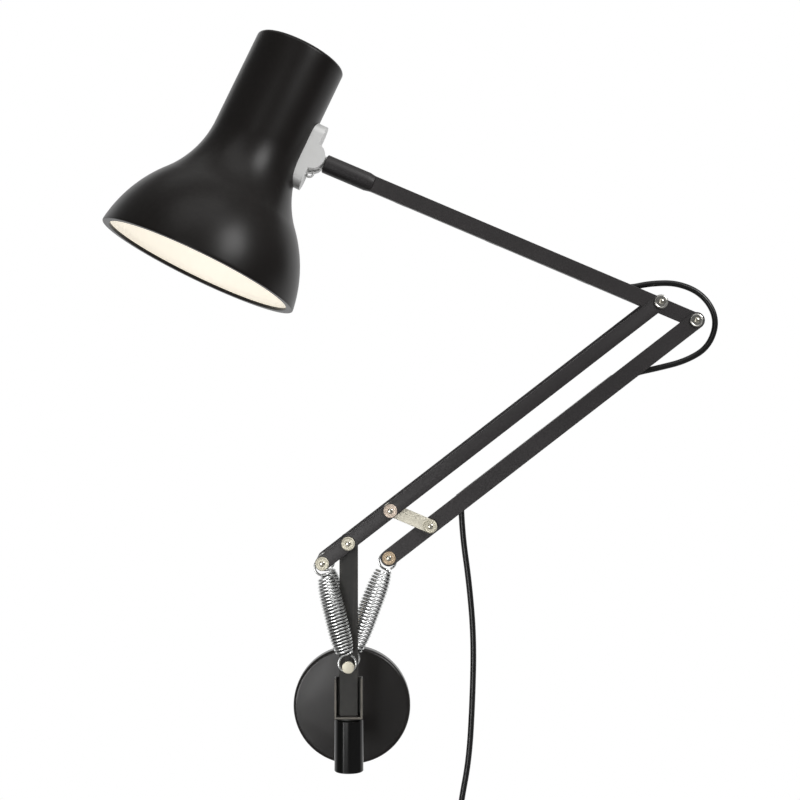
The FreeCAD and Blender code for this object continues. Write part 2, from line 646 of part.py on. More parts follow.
def yoke():
    """Round stub and a flat tongue with a round end on the tilt axis."""
    stub = Part.makeCylinder(STUB_R, STUB_LENGTH, V(TIP_START, 0, 0), V(1, 0, 0))
    tongue = Part.makeCylinder(TONGUE_R, TONGUE, V(0, -TONGUE / 2, 0), V(0, 1, 0))
    shank = Part.makeBox(TIP_START, TONGUE, SHANK_W, V(0, -TONGUE / 2, -SHANK_W / 2))
    root = Part.makeBox(3.0, TONGUE, 2 * STUB_R - 1.6, V(TIP_START, -TONGUE / 2, -STUB_R + 0.8))
    shape = fuse(tongue, shank, root, stub)
    shape = shape.cut(Part.makeCylinder(TILT_PIN_R + RUNNING, 2 * TONGUE, V(0, -TONGUE, 0), V(0, 1, 0)))
    return rolled(axis_frame(shape))


# ---- shade, built about its own axis: +Z up the axis from the closed top at h = 0, then placed ---------------------
def shade_frame(shape):
    """Places a shape from the shade's own frame, where h runs down -Z and the arm is at +X."""
    shape.translate(V(-KNUCKLE_OUT, 0, KNUCKLE_H))
    shape.rotate(V(0, 0, 0), V(0, 1, 0), -LINK_ANGLE + SHADE_TURN)
    shape.translate(at(KNUCKLE, TIP_V))
    return rolled(shape)


def sweep_point(r0, h0, radius, start, sweep):
    """Point on a sweep that starts at (r0, h0), leaning `start` degrees from the axis."""
    a0, a1 = math.radians(start), math.radians(start + sweep)
    dh = radius * abs(math.sin(a1) - math.sin(a0))
    dr = radius * abs(math.cos(a1) - math.cos(a0))
    return (r0 + dr, h0 + dh)


def shade_outline(offset):
    """Half profile of the shade as (r, h) stations, moved inwards by offset: neck, flare, bell."""
    neck = SHADE_NECK_R - offset
    flare, bell = FLARE_R + offset, BELL_R - offset
    knee = sweep_point(neck, SHADE_NECK, flare, 0, FLARE_ANGLE)
    knee_mid = sweep_point(neck, SHADE_NECK, flare, 0, FLARE_ANGLE / 2)
    turn = RIM_ANGLE - FLARE_ANGLE
    rim = sweep_point(knee[0], knee[1], bell, FLARE_ANGLE, turn)
    rim_mid = sweep_point(knee[0], knee[1], bell, FLARE_ANGLE, turn / 2)
    return neck, knee_mid, knee, rim_mid, rim


def rh(r, h):
    return V(r, 0, -h)


def shade_solid(offset, top):
    """Solid of revolution inside the shade's profile, moved inwards by offset, from h = top to the rim."""
    neck, knee_mid, knee, rim_mid, rim = shade_outline(offset)
    rounding = TOP_ROUND - offset
    slant = rounding * (1 - math.sqrt(0.5))
    edges = [
        Part.LineSegment(rh(0, top), rh(neck - rounding, top)),
        Part.Arc(rh(neck - rounding, top), rh(neck - slant, top + slant), rh(neck, top + rounding)),
        Part.LineSegment(rh(neck, top + rounding), rh(neck, SHADE_NECK)),
        Part.Arc(rh(neck, SHADE_NECK), rh(*knee_mid), rh(*knee)),
        Part.Arc(rh(*knee), rh(*rim_mid), rh(*rim)),
        Part.LineSegment(rh(*rim), rh(0, rim[1])),
        Part.LineSegment(rh(0, rim[1]), rh(0, top)),
    ]
    face = Part.Face(Part.Wire([e.toShape() for e in edges]))
    return face.revolve(V(0, 0, 0), V(0, 0, 1), 360)


SHADE_LENGTH = shade_outline(0)[4][1]
RIM_R = shade_outline(0)[4][0]


def shade_shell():
    """Spun metal shade, closed at the top, with its edge turned in as a flat lip."""
    shell = shade_solid(0, 0).cut(shade_solid(SHADE_WALL, SHADE_WALL))
    lip = Part.makeCylinder(RIM_R - 0.2, SHADE_WALL, rh(0, SHADE_LENGTH))
    lip = lip.cut(Part.makeCylinder(RIM_R - RIM_LIP - SHADE_WALL, SHADE_WALL, rh(0, SHADE_LENGTH)))
    shell = shell.fuse(lip).removeSplitter()
    for h in (KNUCKLE_H - PAD_SCREWS, KNUCKLE_H + PAD_SCREWS):
        shell = shell.cut(Part.makeCylinder(1.6, 40.0, rh(0, h), V(1, 0, 0)))
    return shade_frame(shell)


def shade_bracket():
    """Cast pad saddled on the shade's neck, with two round cheeks flush with its sides and a slot for the yoke."""
    half, side = PAD_LENGTH / 2, PAD_W / 2
    low, high = KNUCKLE_H - half, KNUCKLE_H + half
    inside = SHADE_NECK_R - 10.0
    pad = Part.makeBox(PAD_OUT - inside, PAD_W, PAD_LENGTH, V(inside, -side, -high))
    corners = [e for e in pad.Edges
               if abs(abs(e.CenterOfMass.y) - side) < 0.01
               and min(abs(e.CenterOfMass.z + high), abs(e.CenterOfMass.z + low)) < 0.01]
    pad = pad.makeFillet(PAD_END_R, corners)
    cheeks = Part.makeCylinder(CHEEK_R, PAD_W, V(KNUCKLE_OUT, -side, -KNUCKLE_H), V(0, 1, 0))
    slot_h = 2 * CHEEK_R + 1.0
    slot_x = KNUCKLE_OUT - TONGUE_R - 0.6
    slot = Part.makeBox(20.0, FORK_GAP, slot_h, V(slot_x, -FORK_GAP / 2, -KNUCKLE_H - slot_h / 2))
    shape = fuse(pad, cheeks).cut(slot).fuse(lead_eyelet())
    shape = shape.cut(shade_solid(-0.05, 0))
    shape = shape.cut(Part.makeCylinder(TILT_PIN_R, TILT_PIN_LENGTH, *tilt_pin_place()))
    for h in (KNUCKLE_H - PAD_SCREWS, KNUCKLE_H + PAD_SCREWS):
        shape = shape.cut(Part.makeCylinder(PAD_SCREW_R, PAD_OUT - 1.5, rh(0, h), V(1, 0, 0)))
    return shade_frame(shape)


def lead_eyelet():
    """Small ring between the cheeks and the pad's lower end that guides the lead into the shade."""
    angle = math.radians(EYELET_ANGLE)
    out = KNUCKLE_OUT + EYELET_AT * math.cos(angle)
    down = KNUCKLE_H - EYELET_AT * math.sin(angle)
    return Part.makeTorus(EYELET_R, EYELET_WIRE_R, rh(out, down), V(0, 1, 0))


def tilt_pin_place():
    return V(KNUCKLE_OUT, -TILT_PIN_LENGTH / 2, -KNUCKLE_H), V(0, 1, 0)


def tilt_pin():
    return shade_frame(Part.makeCylinder(TILT_PIN_R, TILT_PIN_LENGTH, *tilt_pin_place()))


def bracket_screws():
    """Two screws from inside the shade into the pad."""
    screws = []
    head_h = 1.2
    inside = SHADE_NECK_R - SHADE_WALL - head_h - 0.15
    for h in (KNUCKLE_H - PAD_SCREWS, KNUCKLE_H + PAD_SCREWS):
        head = Part.makeCylinder(2.6, head_h, rh(inside, h), V(1, 0, 0))
        shank = Part.makeCylinder(PAD_SCREW_R, PAD_OUT - 2.0 - inside, rh(inside, h), V(1, 0, 0))
        screws.append(head.fuse(shank))
    return shade_frame(Part.makeCompound(screws))


def holder_ring():
    """Disc under the shade's top that carries the lamp holder."""
    r = SHADE_NECK_R - SHADE_WALL - 0.1
    return shade_frame(Part.makeCylinder(r, 1.2, rh(0, 7.2), V(0, 0, 1)))


def lamp_holder():
    """Screw-in lamp holder: a stepped body open at its mouth."""
    body = Part.makeCylinder(13.0, 26.0, rh(0, 33.2), V(0, 0, 1))
    collar = Part.makeCylinder(14.5, 6.0, rh(0, 33.2), V(0, 0, 1))
    mouth = Part.makeCylinder(7.6, 22.0, rh(0, 33.2), V(0, 0, 1))
    return shade_frame(fuse(body, collar).cut(mouth))


def bulb_cap():
    """Screw cap, with a disc that closes the bulb's neck."""
    cap = Part.makeCylinder(7.0, 22.0, rh(0, BULB_TOP - 1), V(0, 0, 1))
    return shade_frame(fuse(cap, Part.makeCylinder(BULB_NECK_R, 1.0, rh(0, BULB_TOP), V(0, 0, 1))))


def bulb():
    """Hollow round lamp: a globe that sweeps into its neck, open where the screw cap covers it."""
    def profile(globe_r, neck_r, sweep_r, top):
        run = neck_r + sweep_r
        rise = math.sqrt((globe_r + sweep_r) ** 2 - run ** 2)
        sweep_h = BULB_H - rise
        share = globe_r / (globe_r + sweep_r)
        join = (run * share, BULB_H - rise * share)
        lean = math.atan2(rise, run) / 2
        middle = (run - sweep_r * math.cos(lean), sweep_h + sweep_r * math.sin(lean))
        around = (globe_r * math.cos(0.35), BULB_H + globe_r * math.sin(0.35))
        edges = [
            Part.LineSegment(rh(0, top), rh(neck_r, top)),
            Part.LineSegment(rh(neck_r, top), rh(neck_r, sweep_h)),
            Part.Arc(rh(neck_r, sweep_h), rh(*middle), rh(*join)),
            Part.Arc(rh(*join), rh(*around), rh(0, BULB_H + globe_r)),
            Part.LineSegment(rh(0, BULB_H + globe_r), rh(0, top)),
        ]
        face = Part.Face(Part.Wire([e.toShape() for e in edges]))
        return face.revolve(V(0, 0, 0), V(0, 0, 1), 360)

    glass = profile(BULB_R, BULB_NECK_R, BULB_SWEEP_R, BULB_TOP)
    hollow = profile(BULB_R - 1, BULB_NECK_R - 1, BULB_SWEEP_R + 1, BULB_TOP)
    return shade_frame(glass.cut(hollow))


# ---- lead --------------------------------------------------------------------------------------------------------
def route(points, radius_share=0.45):
    """Wire of straight runs joined by tangent arcs, and the radii of its arcs."""
    edges, radii = [], []
    here = points[0]
    for before, corner, after in zip(points[:-2], points[1:-1], points[2:]):
        a, b = corner - before, after - corner
        shorter = min(a.Length, b.Length)
        ua, ub = V(a.x, a.y, a.z).normalize(), V(b.x, b.y, b.z).normalize()
        half = math.acos(max(-1.0, min(1.0, ua.dot(ub)))) / 2
        cut = radius_share * shorter
        radius = cut / math.tan(half)
        start, end = corner - ua * cut, corner + ub * cut
        bisector = (ub - ua).normalize()
        middle = corner + bisector * (radius / math.cos(half) - radius)
        edges += [Part.LineSegment(here, start).toShape(), Part.Arc(start, middle, end).toShape()]
        radii.append(radius)
        here = end
    edges.append(Part.LineSegment(here, points[-1]).toShape())
    return Part.Wire(edges), radii


def lead(name, points):
    """Tube of the lead along a route, with its radii and its volume against section times length."""
    path, radii = route(points)
    shape = swept(path, CORD_R)
    section = math.pi * CORD_R ** 2
    print("%s: length %.1f, radii %s, volume share %.4f" %
          (name, path.Length, " ".join("%.0f" % r for r in radii), shape.Volume / (section * path.Length)))
    return shape


CHANNEL_LOW = polar(TENSION_FOOT, BAR_ANGLE, CHANNEL_FROM_FOOT)
CHANNEL_HIGH = polar(TENSION_FOOT, BAR_ANGLE, REACH - CHANNEL_FROM_TOP)
LOOP_ROUTE = [(149.8, 267.3, -6.6), (159.0, 263.4, -6.6), (169.5, 262.2, -6.5), (181.5, 264.9, -6.4),
              (198.5, 265.2, -6.2), (214.0, 258.0, -5.8), (222.3, 243.0, -5.4), (217.0, 226.5, -5.2),
              (203.0, 218.0, -5.0), (185.5, 213.6, -4.9), (170.5, 210.4, -4.8)]
DROP_ROUTE = [(67.9, 116.0), (72.4, 84.0), (75.2, 50.0), (74.3, 12.0), (72.3, -22.0), (67.4, -48.0),
              (65.8, -64.0)]
COIL_CENTRE_Z = -78.0
LEAD_GAP = 2.3            # from the hanging lead's round end to the stretch in the channel


def elbow_loop():
    """Free loop of the lead round the elbow, from the upper arm's notch into the single bar's channel."""
    points = [at((x, z), v) for x, z, v in LOOP_ROUTE]
    points.append(at(CHANNEL_HIGH, CORD_V))
    return lead("elbow loop", points)


def arm_lead():
    """Straight stretch of the lead in the upper arm's channel, from the round tip's hole to the elbow loop."""
    end = LOOP_ROUTE[0]
    length = math.hypot(end[0] - KNUCKLE[0], end[1] - KNUCKLE[1]) - (TIP_END - 8.0)
    start = polar(KNUCKLE, LINK_ANGLE, TIP_END - 8.0)
    a = math.radians(LINK_ANGLE)
    return Part.makeCylinder(CORD_R, length, at(start, ARM_LEAD_V), V(math.cos(a), 0, math.sin(a)))


def channel_lead():
    """Straight stretch of the lead held in the single bar's channel."""
    length = REACH - CHANNEL_FROM_FOOT - CHANNEL_FROM_TOP - LEAD_GAP - 0.8
    foot = polar(CHANNEL_LOW, BAR_ANGLE, LEAD_GAP)
    a = math.radians(BAR_ANGLE)
    return Part.makeCylinder(CORD_R, length, at(foot, CORD_V), V(math.cos(a), 0, math.sin(a)))


def drop_lead():
    """Free stretch of the lead that hangs from the single bar, down to the coil."""
    points = [at(p, CORD_V) for p in [CHANNEL_LOW] + DROP_ROUTE]
    points.append(at((DROP_ROUTE[-1][0], COIL_CENTRE_Z), CORD_V))
    tube_solid = lead("drop", points)
    return tube_solid.fuse(Part.makeSphere(CORD_R, points[0])).removeSplitter()


COIL_X = DROP_ROUTE[-1][0] + COIL_MEAN_R + COIL_STEP * COIL_LAYER_TURNS / 2
COIL_END_V = CORD_V + COIL_STEP * (COIL_LAYERS - 1)


def coil_lead():
    """Put-away length of the lead: a round coil of four layers that spirals in and out again."""
    centre = at((COIL_X, COIL_CENTRE_Z - 2 * CORD_R), CORD_V)
    outer = COIL_MEAN_R + COIL_STEP * COIL_LAYER_TURNS / 2
    turns = COIL_LAYERS * COIL_LAYER_TURNS

    def place(t):
        layer = min(int(t / COIL_LAYER_TURNS), COIL_LAYERS - 1)
        within = t - layer * COIL_LAYER_TURNS
        inwards = layer % 2 == 0
        r = outer - COIL_STEP * (within if inwards else COIL_LAYER_TURNS - within)
        lift = 0.0
        for turn_back in range(1, COIL_LAYERS):
            x = (t - (turn_back * COIL_LAYER_TURNS - 0.25)) / 0.5
            x = max(0.0, min(1.0, x))
            lift += COIL_STEP * x * x * (3 - 2 * x)
        a = math.pi + 2 * math.pi * t
        return centre + V(r * math.cos(a), -lift, r * math.sin(a))

    stations = [(place(0) + V(0, 0, 2 * CORD_R), V(0, 0, -1))]
    count = 8 * turns
    for k in range(0, count + 1):
        t = k * turns / count
        ahead = place(min(t + 1e-4, turns)) - place(max(t - 1e-4, 0))
        stations.append((place(t), ahead.normalize()))
    stations[1] = (stations[1][0], V(0, 0, -1))
    stations[-1] = (stations[-1][0], V(0, 0, -1))
    stations.append((place(turns) - V(0, 0, 2 * CORD_R), V(0, 0, -1)))
    path = wire_through(stations)
    least_gap(path, 2 * CORD_R, "coil, %d turns" % turns)
    return swept(path, CORD_R, WOUND_SIDES)


def coil_tie():
    """Strap round the coil's turns, on the side away from the hanging lead."""
    spread = COIL_STEP * COIL_LAYER_TURNS / 2 + CORD_R + 0.3
    depth0 = CORD_V - CORD_R - 0.3
    depth1 = COIL_END_V + CORD_R + 0.3
    x0 = COIL_X + COIL_MEAN_R - spread
    z = COIL_CENTRE_Z - 2 * CORD_R
    wall = 0.9
    outer = Part.makeBox(2 * spread + 2 * wall, depth1 - depth0 + 2 * wall, 5.0,
                         V(x0 - wall, -(ARM_OUT + depth1 + wall), z - 2.5))
    inner = Part.makeBox(2 * spread, depth1 - depth0, 5.0, V(x0, -(ARM_OUT + depth1), z - 2.5))
    return outer.cut(inner)


def plug_place():
    return at((COIL_X - COIL_MEAN_R - COIL_STEP * COIL_LAYER_TURNS / 2, COIL_CENTRE_Z - 4 * CORD_R), COIL_END_V)


def plug_relief():
    """Tapered strain relief where the lead enters the plug."""
    top = plug_place()
    relief = Part.makeCone(3.4, 2.3, 20.0, top - V(0, 0, 20.0), V(0, 0, 1))
    return relief


def plug_body():
    """Flat two-pin plug, thinner towards the pins' face, hanging with its pins down."""
    top = plug_place() - V(0, 0, 20.0)
    sections = []
    for drop, w, t in ((0.0, 12.0, 9.0), (8.0, 26.0, 13.0), (27.0, 32.0, 13.6), (34.0, 33.0, 13.6)):
        z = top.z - drop
        r = t * 0.35
        x0, x1, y0, y1 = top.x - w / 2, top.x + w / 2, top.y - t / 2, top.y + t / 2
        c = r * (1 - math.sqrt(0.5))
        corners = ((x1, y0, -1, 1, 0), (x1, y1, -1, -1, 0), (x0, y1, 1, -1, 0), (x0, y0, 1, 1, 0))
        starts = [V(x1 - r, y0, z), V(x1, y1 - r, z), V(x0 + r, y1, z), V(x0, y0 + r, z)]
        ends = [V(x1, y0 + r, z), V(x1 - r, y1, z), V(x0, y1 - r, z), V(x0 + r, y0, z)]
        middles = [V(cx + sx * c, cy + sy * c, z) for cx, cy, sx, sy, _ in corners]
        edges = []
        for i in range(4):
            edges.append(Part.Arc(starts[i], middles[i], ends[i]).toShape())
            edges.append(Part.LineSegment(ends[i], starts[(i + 1) % 4]).toShape())
        sections.append(Part.Wire(edges))
    return Part.makeLoft(sections, True, True)


def plug_pins():
    face = plug_place() - V(0, 0, 54.0)
    pins = []
    for x in (-9.3, 9.3):
        pins.append(Part.makeCylinder(2.0, 19.0, face + V(x, 0, 0), V(0, 0, -1)))
    return Part.makeCompound(pins)


# ---- write every piece -------------------------------------------------------------------------------------------
PIECES = {
    "wall_plate_back": wall_plate_back,
    "wall_plate_cover": wall_plate_cover,
    "socket_arm": socket_arm,
    "socket_bush": socket_bush,
    "socket_cap": socket_cap,
    "stem_screws": stem_screws,
    "cover_screws": cover_screws,
    "spigot": spigot,
    "swivel_bracket": swivel_bracket,
    "post_channel": post_channel,
    "bracket_rivets": bracket_rivets,
    "post_pivot": post_pivot,
    "post_spacers": post_spacers,
    "base_pin": base_pin,
    "base_pin_spacers": base_pin_spacers,
    "front_spring": lambda: spring(SPRING_PIN, FRONT_SPRING_V),
    "middle_spring": lambda: spring(TENSION_FOOT, MIDDLE_SPRING_V),
    "rear_spring": lambda: spring(SPRING_PIN, REAR_SPRING_V),
    "front_bar": lambda: twin_bar(*FRONT_BAR_V),
    "rear_bar": lambda: twin_bar(*REAR_BAR_V),
    "spring_pins": spring_pins,
    "link_pin": lambda: long_pin(LINK_PIN),
    "elbow_pin": lambda: long_pin(ELBOW),
    "bar_spacers": bar_spacers,
    "link_plate": link_plate,
    "link_stud": link_stud,
    "tension_bar": tension_bar,
    "middle_spring_pin": middle_spring_pin,
    "bar_clips": bar_clips,
    "upper_channel": upper_channel,
    "elbow_bush": elbow_bush,
    "elbow_rivet": elbow_rivet,
    "arm_tip": arm_tip,
    "arm_clips": arm_clips,
    "yoke": yoke,
    "shade_shell": shade_shell,
    "shade_bracket": shade_bracket,
    "tilt_pin": tilt_pin,
    "bracket_screws": bracket_screws,
    "holder_ring": holder_ring,
    "lamp_holder": lamp_holder,
    "bulb_cap": bulb_cap,
    "bulb": bulb,
    "elbow_loop": elbow_loop,
    "arm_lead": arm_lead,
    "channel_lead": channel_lead,
    "drop_lead": drop_lead,
    "coil_lead": coil_lead,
    "coil_tie": coil_tie,
    "plug_relief": plug_relief,
    "plug_body": plug_body,
    "plug_pins": plug_pins,
}

for piece_name, make in PIECES.items():
    save(piece_name, make())
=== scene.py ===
"""Articulating wall lamp: finishes, cords and wound springs, built round its packed construction.

Everything is in metres in the lamp's own frame: the wall is the plane Y = 0, +Z is up and the viewer is on
the -Y side.  Depth in front of the swivel axis is written v, in millimetres, as in the construction.
"""

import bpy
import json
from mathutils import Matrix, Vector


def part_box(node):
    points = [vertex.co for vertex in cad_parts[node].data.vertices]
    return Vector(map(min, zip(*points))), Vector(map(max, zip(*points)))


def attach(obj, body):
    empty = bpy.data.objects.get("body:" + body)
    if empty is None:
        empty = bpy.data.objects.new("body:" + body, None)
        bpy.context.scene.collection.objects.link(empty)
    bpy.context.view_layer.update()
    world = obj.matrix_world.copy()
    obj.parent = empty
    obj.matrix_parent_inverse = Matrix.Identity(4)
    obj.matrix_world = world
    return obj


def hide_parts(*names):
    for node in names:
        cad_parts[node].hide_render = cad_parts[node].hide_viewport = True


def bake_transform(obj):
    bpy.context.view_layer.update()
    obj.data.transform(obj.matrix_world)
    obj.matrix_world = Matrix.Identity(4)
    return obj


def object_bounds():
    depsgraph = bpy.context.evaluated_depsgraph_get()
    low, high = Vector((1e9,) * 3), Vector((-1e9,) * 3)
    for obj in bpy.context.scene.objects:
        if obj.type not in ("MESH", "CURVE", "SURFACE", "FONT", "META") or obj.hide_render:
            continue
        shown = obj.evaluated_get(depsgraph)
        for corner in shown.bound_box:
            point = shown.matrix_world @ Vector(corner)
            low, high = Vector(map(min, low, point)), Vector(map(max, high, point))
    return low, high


bl_info = {
    "name": "Articulating Wall Lamp",
    "version": (1, 0, 0),
    "blender": (4, 5, 0),
    "location": "View3D > Sidebar > Lamp",
    "description": "Builds a spring-balanced wall lamp with its shade, arms, springs and lead",
    "category": "Add Mesh",
}

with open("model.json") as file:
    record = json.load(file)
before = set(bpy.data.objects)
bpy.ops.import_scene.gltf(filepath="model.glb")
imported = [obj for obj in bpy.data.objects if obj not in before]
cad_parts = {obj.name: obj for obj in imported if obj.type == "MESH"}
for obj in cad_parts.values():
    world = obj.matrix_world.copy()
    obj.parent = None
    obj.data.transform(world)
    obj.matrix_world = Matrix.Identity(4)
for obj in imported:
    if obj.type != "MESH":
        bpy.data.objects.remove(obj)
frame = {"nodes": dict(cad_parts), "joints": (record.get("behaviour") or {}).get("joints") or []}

import json
import math

import bmesh
import bpy
import numpy as np
from bpy.props import FloatProperty, FloatVectorProperty, IntProperty, PointerProperty
from mathutils import Matrix, Vector

CAD_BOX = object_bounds()
MM = 0.001

# ---- places taken from the frame ----
PIVOT = {j["name"]: np.array(j["pos_m"]) for j in frame["joints"]}
AXIS = {j["name"]: np.array(j["axis"], float) for j in frame["joints"]}
ARM_OUT = -PIVOT["post_swivel"][1]
POST_PIVOT = PIVOT["lower_arm_lift"]
ELBOW = PIVOT["elbow"]
LINK_PIN = PIVOT["link_pivot"]
TENSION_TOP = PIVOT["tie_bar_pivot"]
KNUCKLE = PIVOT["shade_tilt"]
LEAD_EXIT = PIVOT["lead_sway"]
LINK = TENSION_TOP - ELBOW
TENSION_FOOT = POST_PIVOT + LINK
TENSION_LINK = LINK_PIN + LINK
BAR_WAY = (ELBOW - POST_PIVOT) / np.linalg.norm(ELBOW - POST_PIVOT)
ARM_WAY = AXIS["shade_turn"]
TOWARDS = np.array([0.0, -1.0, 0.0])


def node_middle(node):
    """Middle of the box round a node of the construction."""
    low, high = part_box(node)
    return (np.array(low) + np.array(high)) / 2


SPRING_PIN = node_middle("spring_pins")
BASE_PIN = node_middle("base_pin")


# ---- settings ----
def length(name, description, default):
    """Setting that is a length in metres."""
    return FloatProperty(name=name, description=description, default=default, min=0.0, precision=4,
                         unit="LENGTH", subtype="DISTANCE")


def colour(name, description, default):
    """Setting that is a colour."""
    return FloatVectorProperty(name=name, description=description, default=default, size=3, subtype="COLOR",
                               min=0.0, max=1.0)


class LampSizes(bpy.types.PropertyGroup):
    """Sizes of the pieces that are made here."""
    bar_width: length("Bar width", "Width of each twin lower bar", 0.0086)
    link_width: length("Link width", "Width of the link plate", 0.0082)
    bar_round: length("Edge round", "Rounding of the sheet metal's cut edges", 0.00028)
    wire: length("Spring wire", "Diameter of the springs' wire", 0.00134)
    spring_radius: length("Spring radius", "Mean radius of the springs' coils at their middle", 0.00625)
    hook_radius: length("Hook radius", "Mean radius of the springs' end rings", 0.0051)
    spring_turns: IntProperty(name="Spring turns", description="Coils in each spring", default=24,
                              min=6, max=40)
    head_radius: length("Head radius", "Radius of the rivet heads", 0.00405)
    lead: length("Lead", "Diameter of the electric lead", 0.0036)
    coil_radius: length("Coil radius", "Mean radius of the put-away coil", 0.020)
    neck_radius: length("Neck radius", "Outer radius of the shade's straight part", 0.0285)
    neck_length: length("Neck length", "Straight part of the shade from its closed top", 0.061)
    flare_radius: length("Flare radius", "Radius of the concave sweep below the neck", 0.0613)
    bell_radius: length("Bell radius", "Radius of the convex sweep of the bell", 0.0842)
    wall: length("Shade wall", "Thickness of the shade's metal", 0.0012)


class LampColours(bpy.types.PropertyGroup):
    """Base colours of the finishes."""
    paint: colour("Paint", "Satin black of the shade and plate", (0.0066, 0.0054, 0.0049))
    bars: colour("Bars", "Satin black of the arms' bars", (0.0128, 0.0106, 0.0112))
    post: colour("Post", "Warm black of the folded post", (0.0068, 0.0064, 0.0052))
    # painted highlight: a paler colour on the post's forward-facing cut edges
    cut: colour("Cut Edge Highlight", "Paler cut edges of the folded post", (0.060, 0.054, 0.044))
    gloss: colour("Gloss", "Glossy black of the socket", (0.0012, 0.0012, 0.0012))
    inside: colour("Inside", "White paint inside the shade", (0.86, 0.84, 0.79))
    glow: colour("Glow", "Light of the lamp", (1.0, 0.94, 0.83))
    button: colour("Button", "Round buttons in the rivet heads", (0.62, 0.59, 0.50))
    disc: colour("Disc", "Pale flat face of the rivet heads", (0.64, 0.61, 0.50))
    rosy: colour("Rosy Disc", "Warmer face of the link's upper rivet head", (0.66, 0.55, 0.46))
    tan: colour("Tan Disc", "Brassy face of the tension bar's foot rivet head", (0.52, 0.40, 0.27))
    bright: colour("Bright Disc", "Polished face of the elbow's rivet heads", (0.46, 0.45, 0.42))
    zinc: colour("Zinc", "Bright spring wire", (0.76, 0.77, 0.76))
    # painted shade: a dark colour on the coils' inner faces, where the coils shade each other
    wire_inside: colour("Wire Painted Shade", "Dull inner side of the spring coils", (0.06, 0.06, 0.062))
    link_plate: colour("Link Plate", "Pale satin link plate", (0.76, 0.73, 0.62))
    silver: colour("Silver", "Satin cast bracket on the shade", (0.64, 0.64, 0.63))
    steel: colour("Steel", "Turned steel pins and spacers", (0.56, 0.56, 0.55))
    brass: colour("Brass", "Plug pins and lamp cap", (0.70, 0.58, 0.34))
    sheath: colour("Sheath", "Lead and its strain relief", (0.003, 0.003, 0.003))
    plastic: colour("Plastic", "Moulded black plastic", (0.008, 0.008, 0.008))
    floor: colour("Floor", "Floor and backdrop", (0.42, 0.42, 0.42))


# ---- surfaces ----
SHARP_ANGLE = math.radians(32)     # edges that bend more are shaded sharp
BEVEL_ANGLE = math.radians(40)     # edges that bend more are softened
FLAT_ANGLE = math.radians(0.6)     # faces that bend less belong to one flat face
MERGE_DISTANCE = 2e-6
FINE_ROUND = 0.0002                # softened edges of small turned parts
SOFT_ROUND = 0.0003                # and of moulded and cast ones
HUB = 0.0004                       # radius of the small flat circle in the middle of a lathed end


def unit(a):
    """Vectors scaled to length one, along the last axis."""
    return a / np.linalg.norm(a, axis=-1, keepdims=True)


def plane_point(point, v):
    """The same place in another plane of depth v, in millimetres."""
    return np.array([point[0], -(ARM_OUT + v * MM), point[2]])


def placed(name, mesh):
    """Object at the origin that shows a mesh."""
    piece = bpy.data.objects.new(name, mesh)
    bpy.context.scene.collection.objects.link(piece)
    return piece


def grid_mesh(name, grid, inner_rows=None):
    """Mesh of a grid of points: rows run along the shape, each row closes on itself round it, and a fan
    round the row's middle shuts both ends.  Faces from row `inner_rows` on take the second material."""
    rows, around = grid.shape[:2]
    verts = np.vstack([grid.reshape(-1, 3), grid[0].mean(axis=0), grid[-1].mean(axis=0)])
    ring = np.arange(around)
    after = (ring + 1) % around
    start = np.arange(rows - 1)[:, None] * around
    sides = np.stack([start + ring, start + after, start + around + after, start + around + ring], axis=-1)
    first_hub, last_hub = np.full(around, rows * around), np.full(around, rows * around + 1)
    last = (rows - 1) * around
    faces = sides.reshape(-1, 4).tolist()
    faces += np.stack([after, ring, first_hub], axis=-1).tolist()
    faces += np.stack([last + ring, last + after, last_hub], axis=-1).tolist()
    mesh = bpy.data.meshes.new(name)
    mesh.from_pydata(verts.tolist(), [], faces)
    if inner_rows is not None:
        row_of_side = np.arange(rows - 1).repeat(around)
        row_of_face = np.concatenate([row_of_side, np.zeros(around), np.full(around, rows)])
        second_material(mesh, row_of_face >= inner_rows)
    piece = placed(name, mesh)
    face_outwards(mesh)
    smooth(mesh)
    return piece


def face_outwards(mesh):
    """Turns a closed mesh's faces to point out of it."""
    work = bmesh.new()
    work.from_mesh(mesh)
    bmesh.ops.recalc_face_normals(work, faces=work.faces)
    if work.calc_volume(signed=True) < 0:
        bmesh.ops.reverse_faces(work, faces=work.faces)
    work.to_mesh(mesh)
    work.free()


def smooth(mesh):
    """Shades a mesh smooth between its sharp edges."""
    mesh.shade_smooth()
    mesh.set_sharp_from_angle(angle=SHARP_ANGLE)


def face_values(mesh, key):
    """The three numbers that a mesh holds under a key, center or normal, for each of its faces."""
    values = np.empty(len(mesh.polygons) * 3)
    mesh.polygons.foreach_get(key, values)
    return values.reshape(-1, 3)


def second_material(mesh, chosen):
    """Gives the chosen faces of a mesh its second material."""
    mesh.polygons.foreach_set("material_index", chosen.astype(np.int32))


def across(axis):
    """Two unit vectors square to an axis and to each other."""
    axis = unit(np.asarray(axis, float))
    helper = np.array([0.0, 1.0, 0.0]) if abs(axis[1]) < 0.9 else np.array([0.0, 0.0, 1.0])
    u = unit(np.cross(helper, axis))
    return u, np.cross(axis, u)


def lathe(name, profile, foot, axis, around=96, inner_rows=None):
    """Surface of revolution: each (radius, height) of the profile is a circle round the axis."""
    profile = np.asarray(profile, float)
    axis = unit(np.asarray(axis, float))
    u, w = across(axis)
    t = np.linspace(0, 2 * math.pi, around, endpoint=False)
    circle = np.cos(t)[:, None] * u + np.sin(t)[:, None] * w
    grid = np.asarray(foot) + profile[:, 1, None, None] * axis + profile[:, 0, None, None] * circle
    return grid_mesh(name, grid, inner_rows)


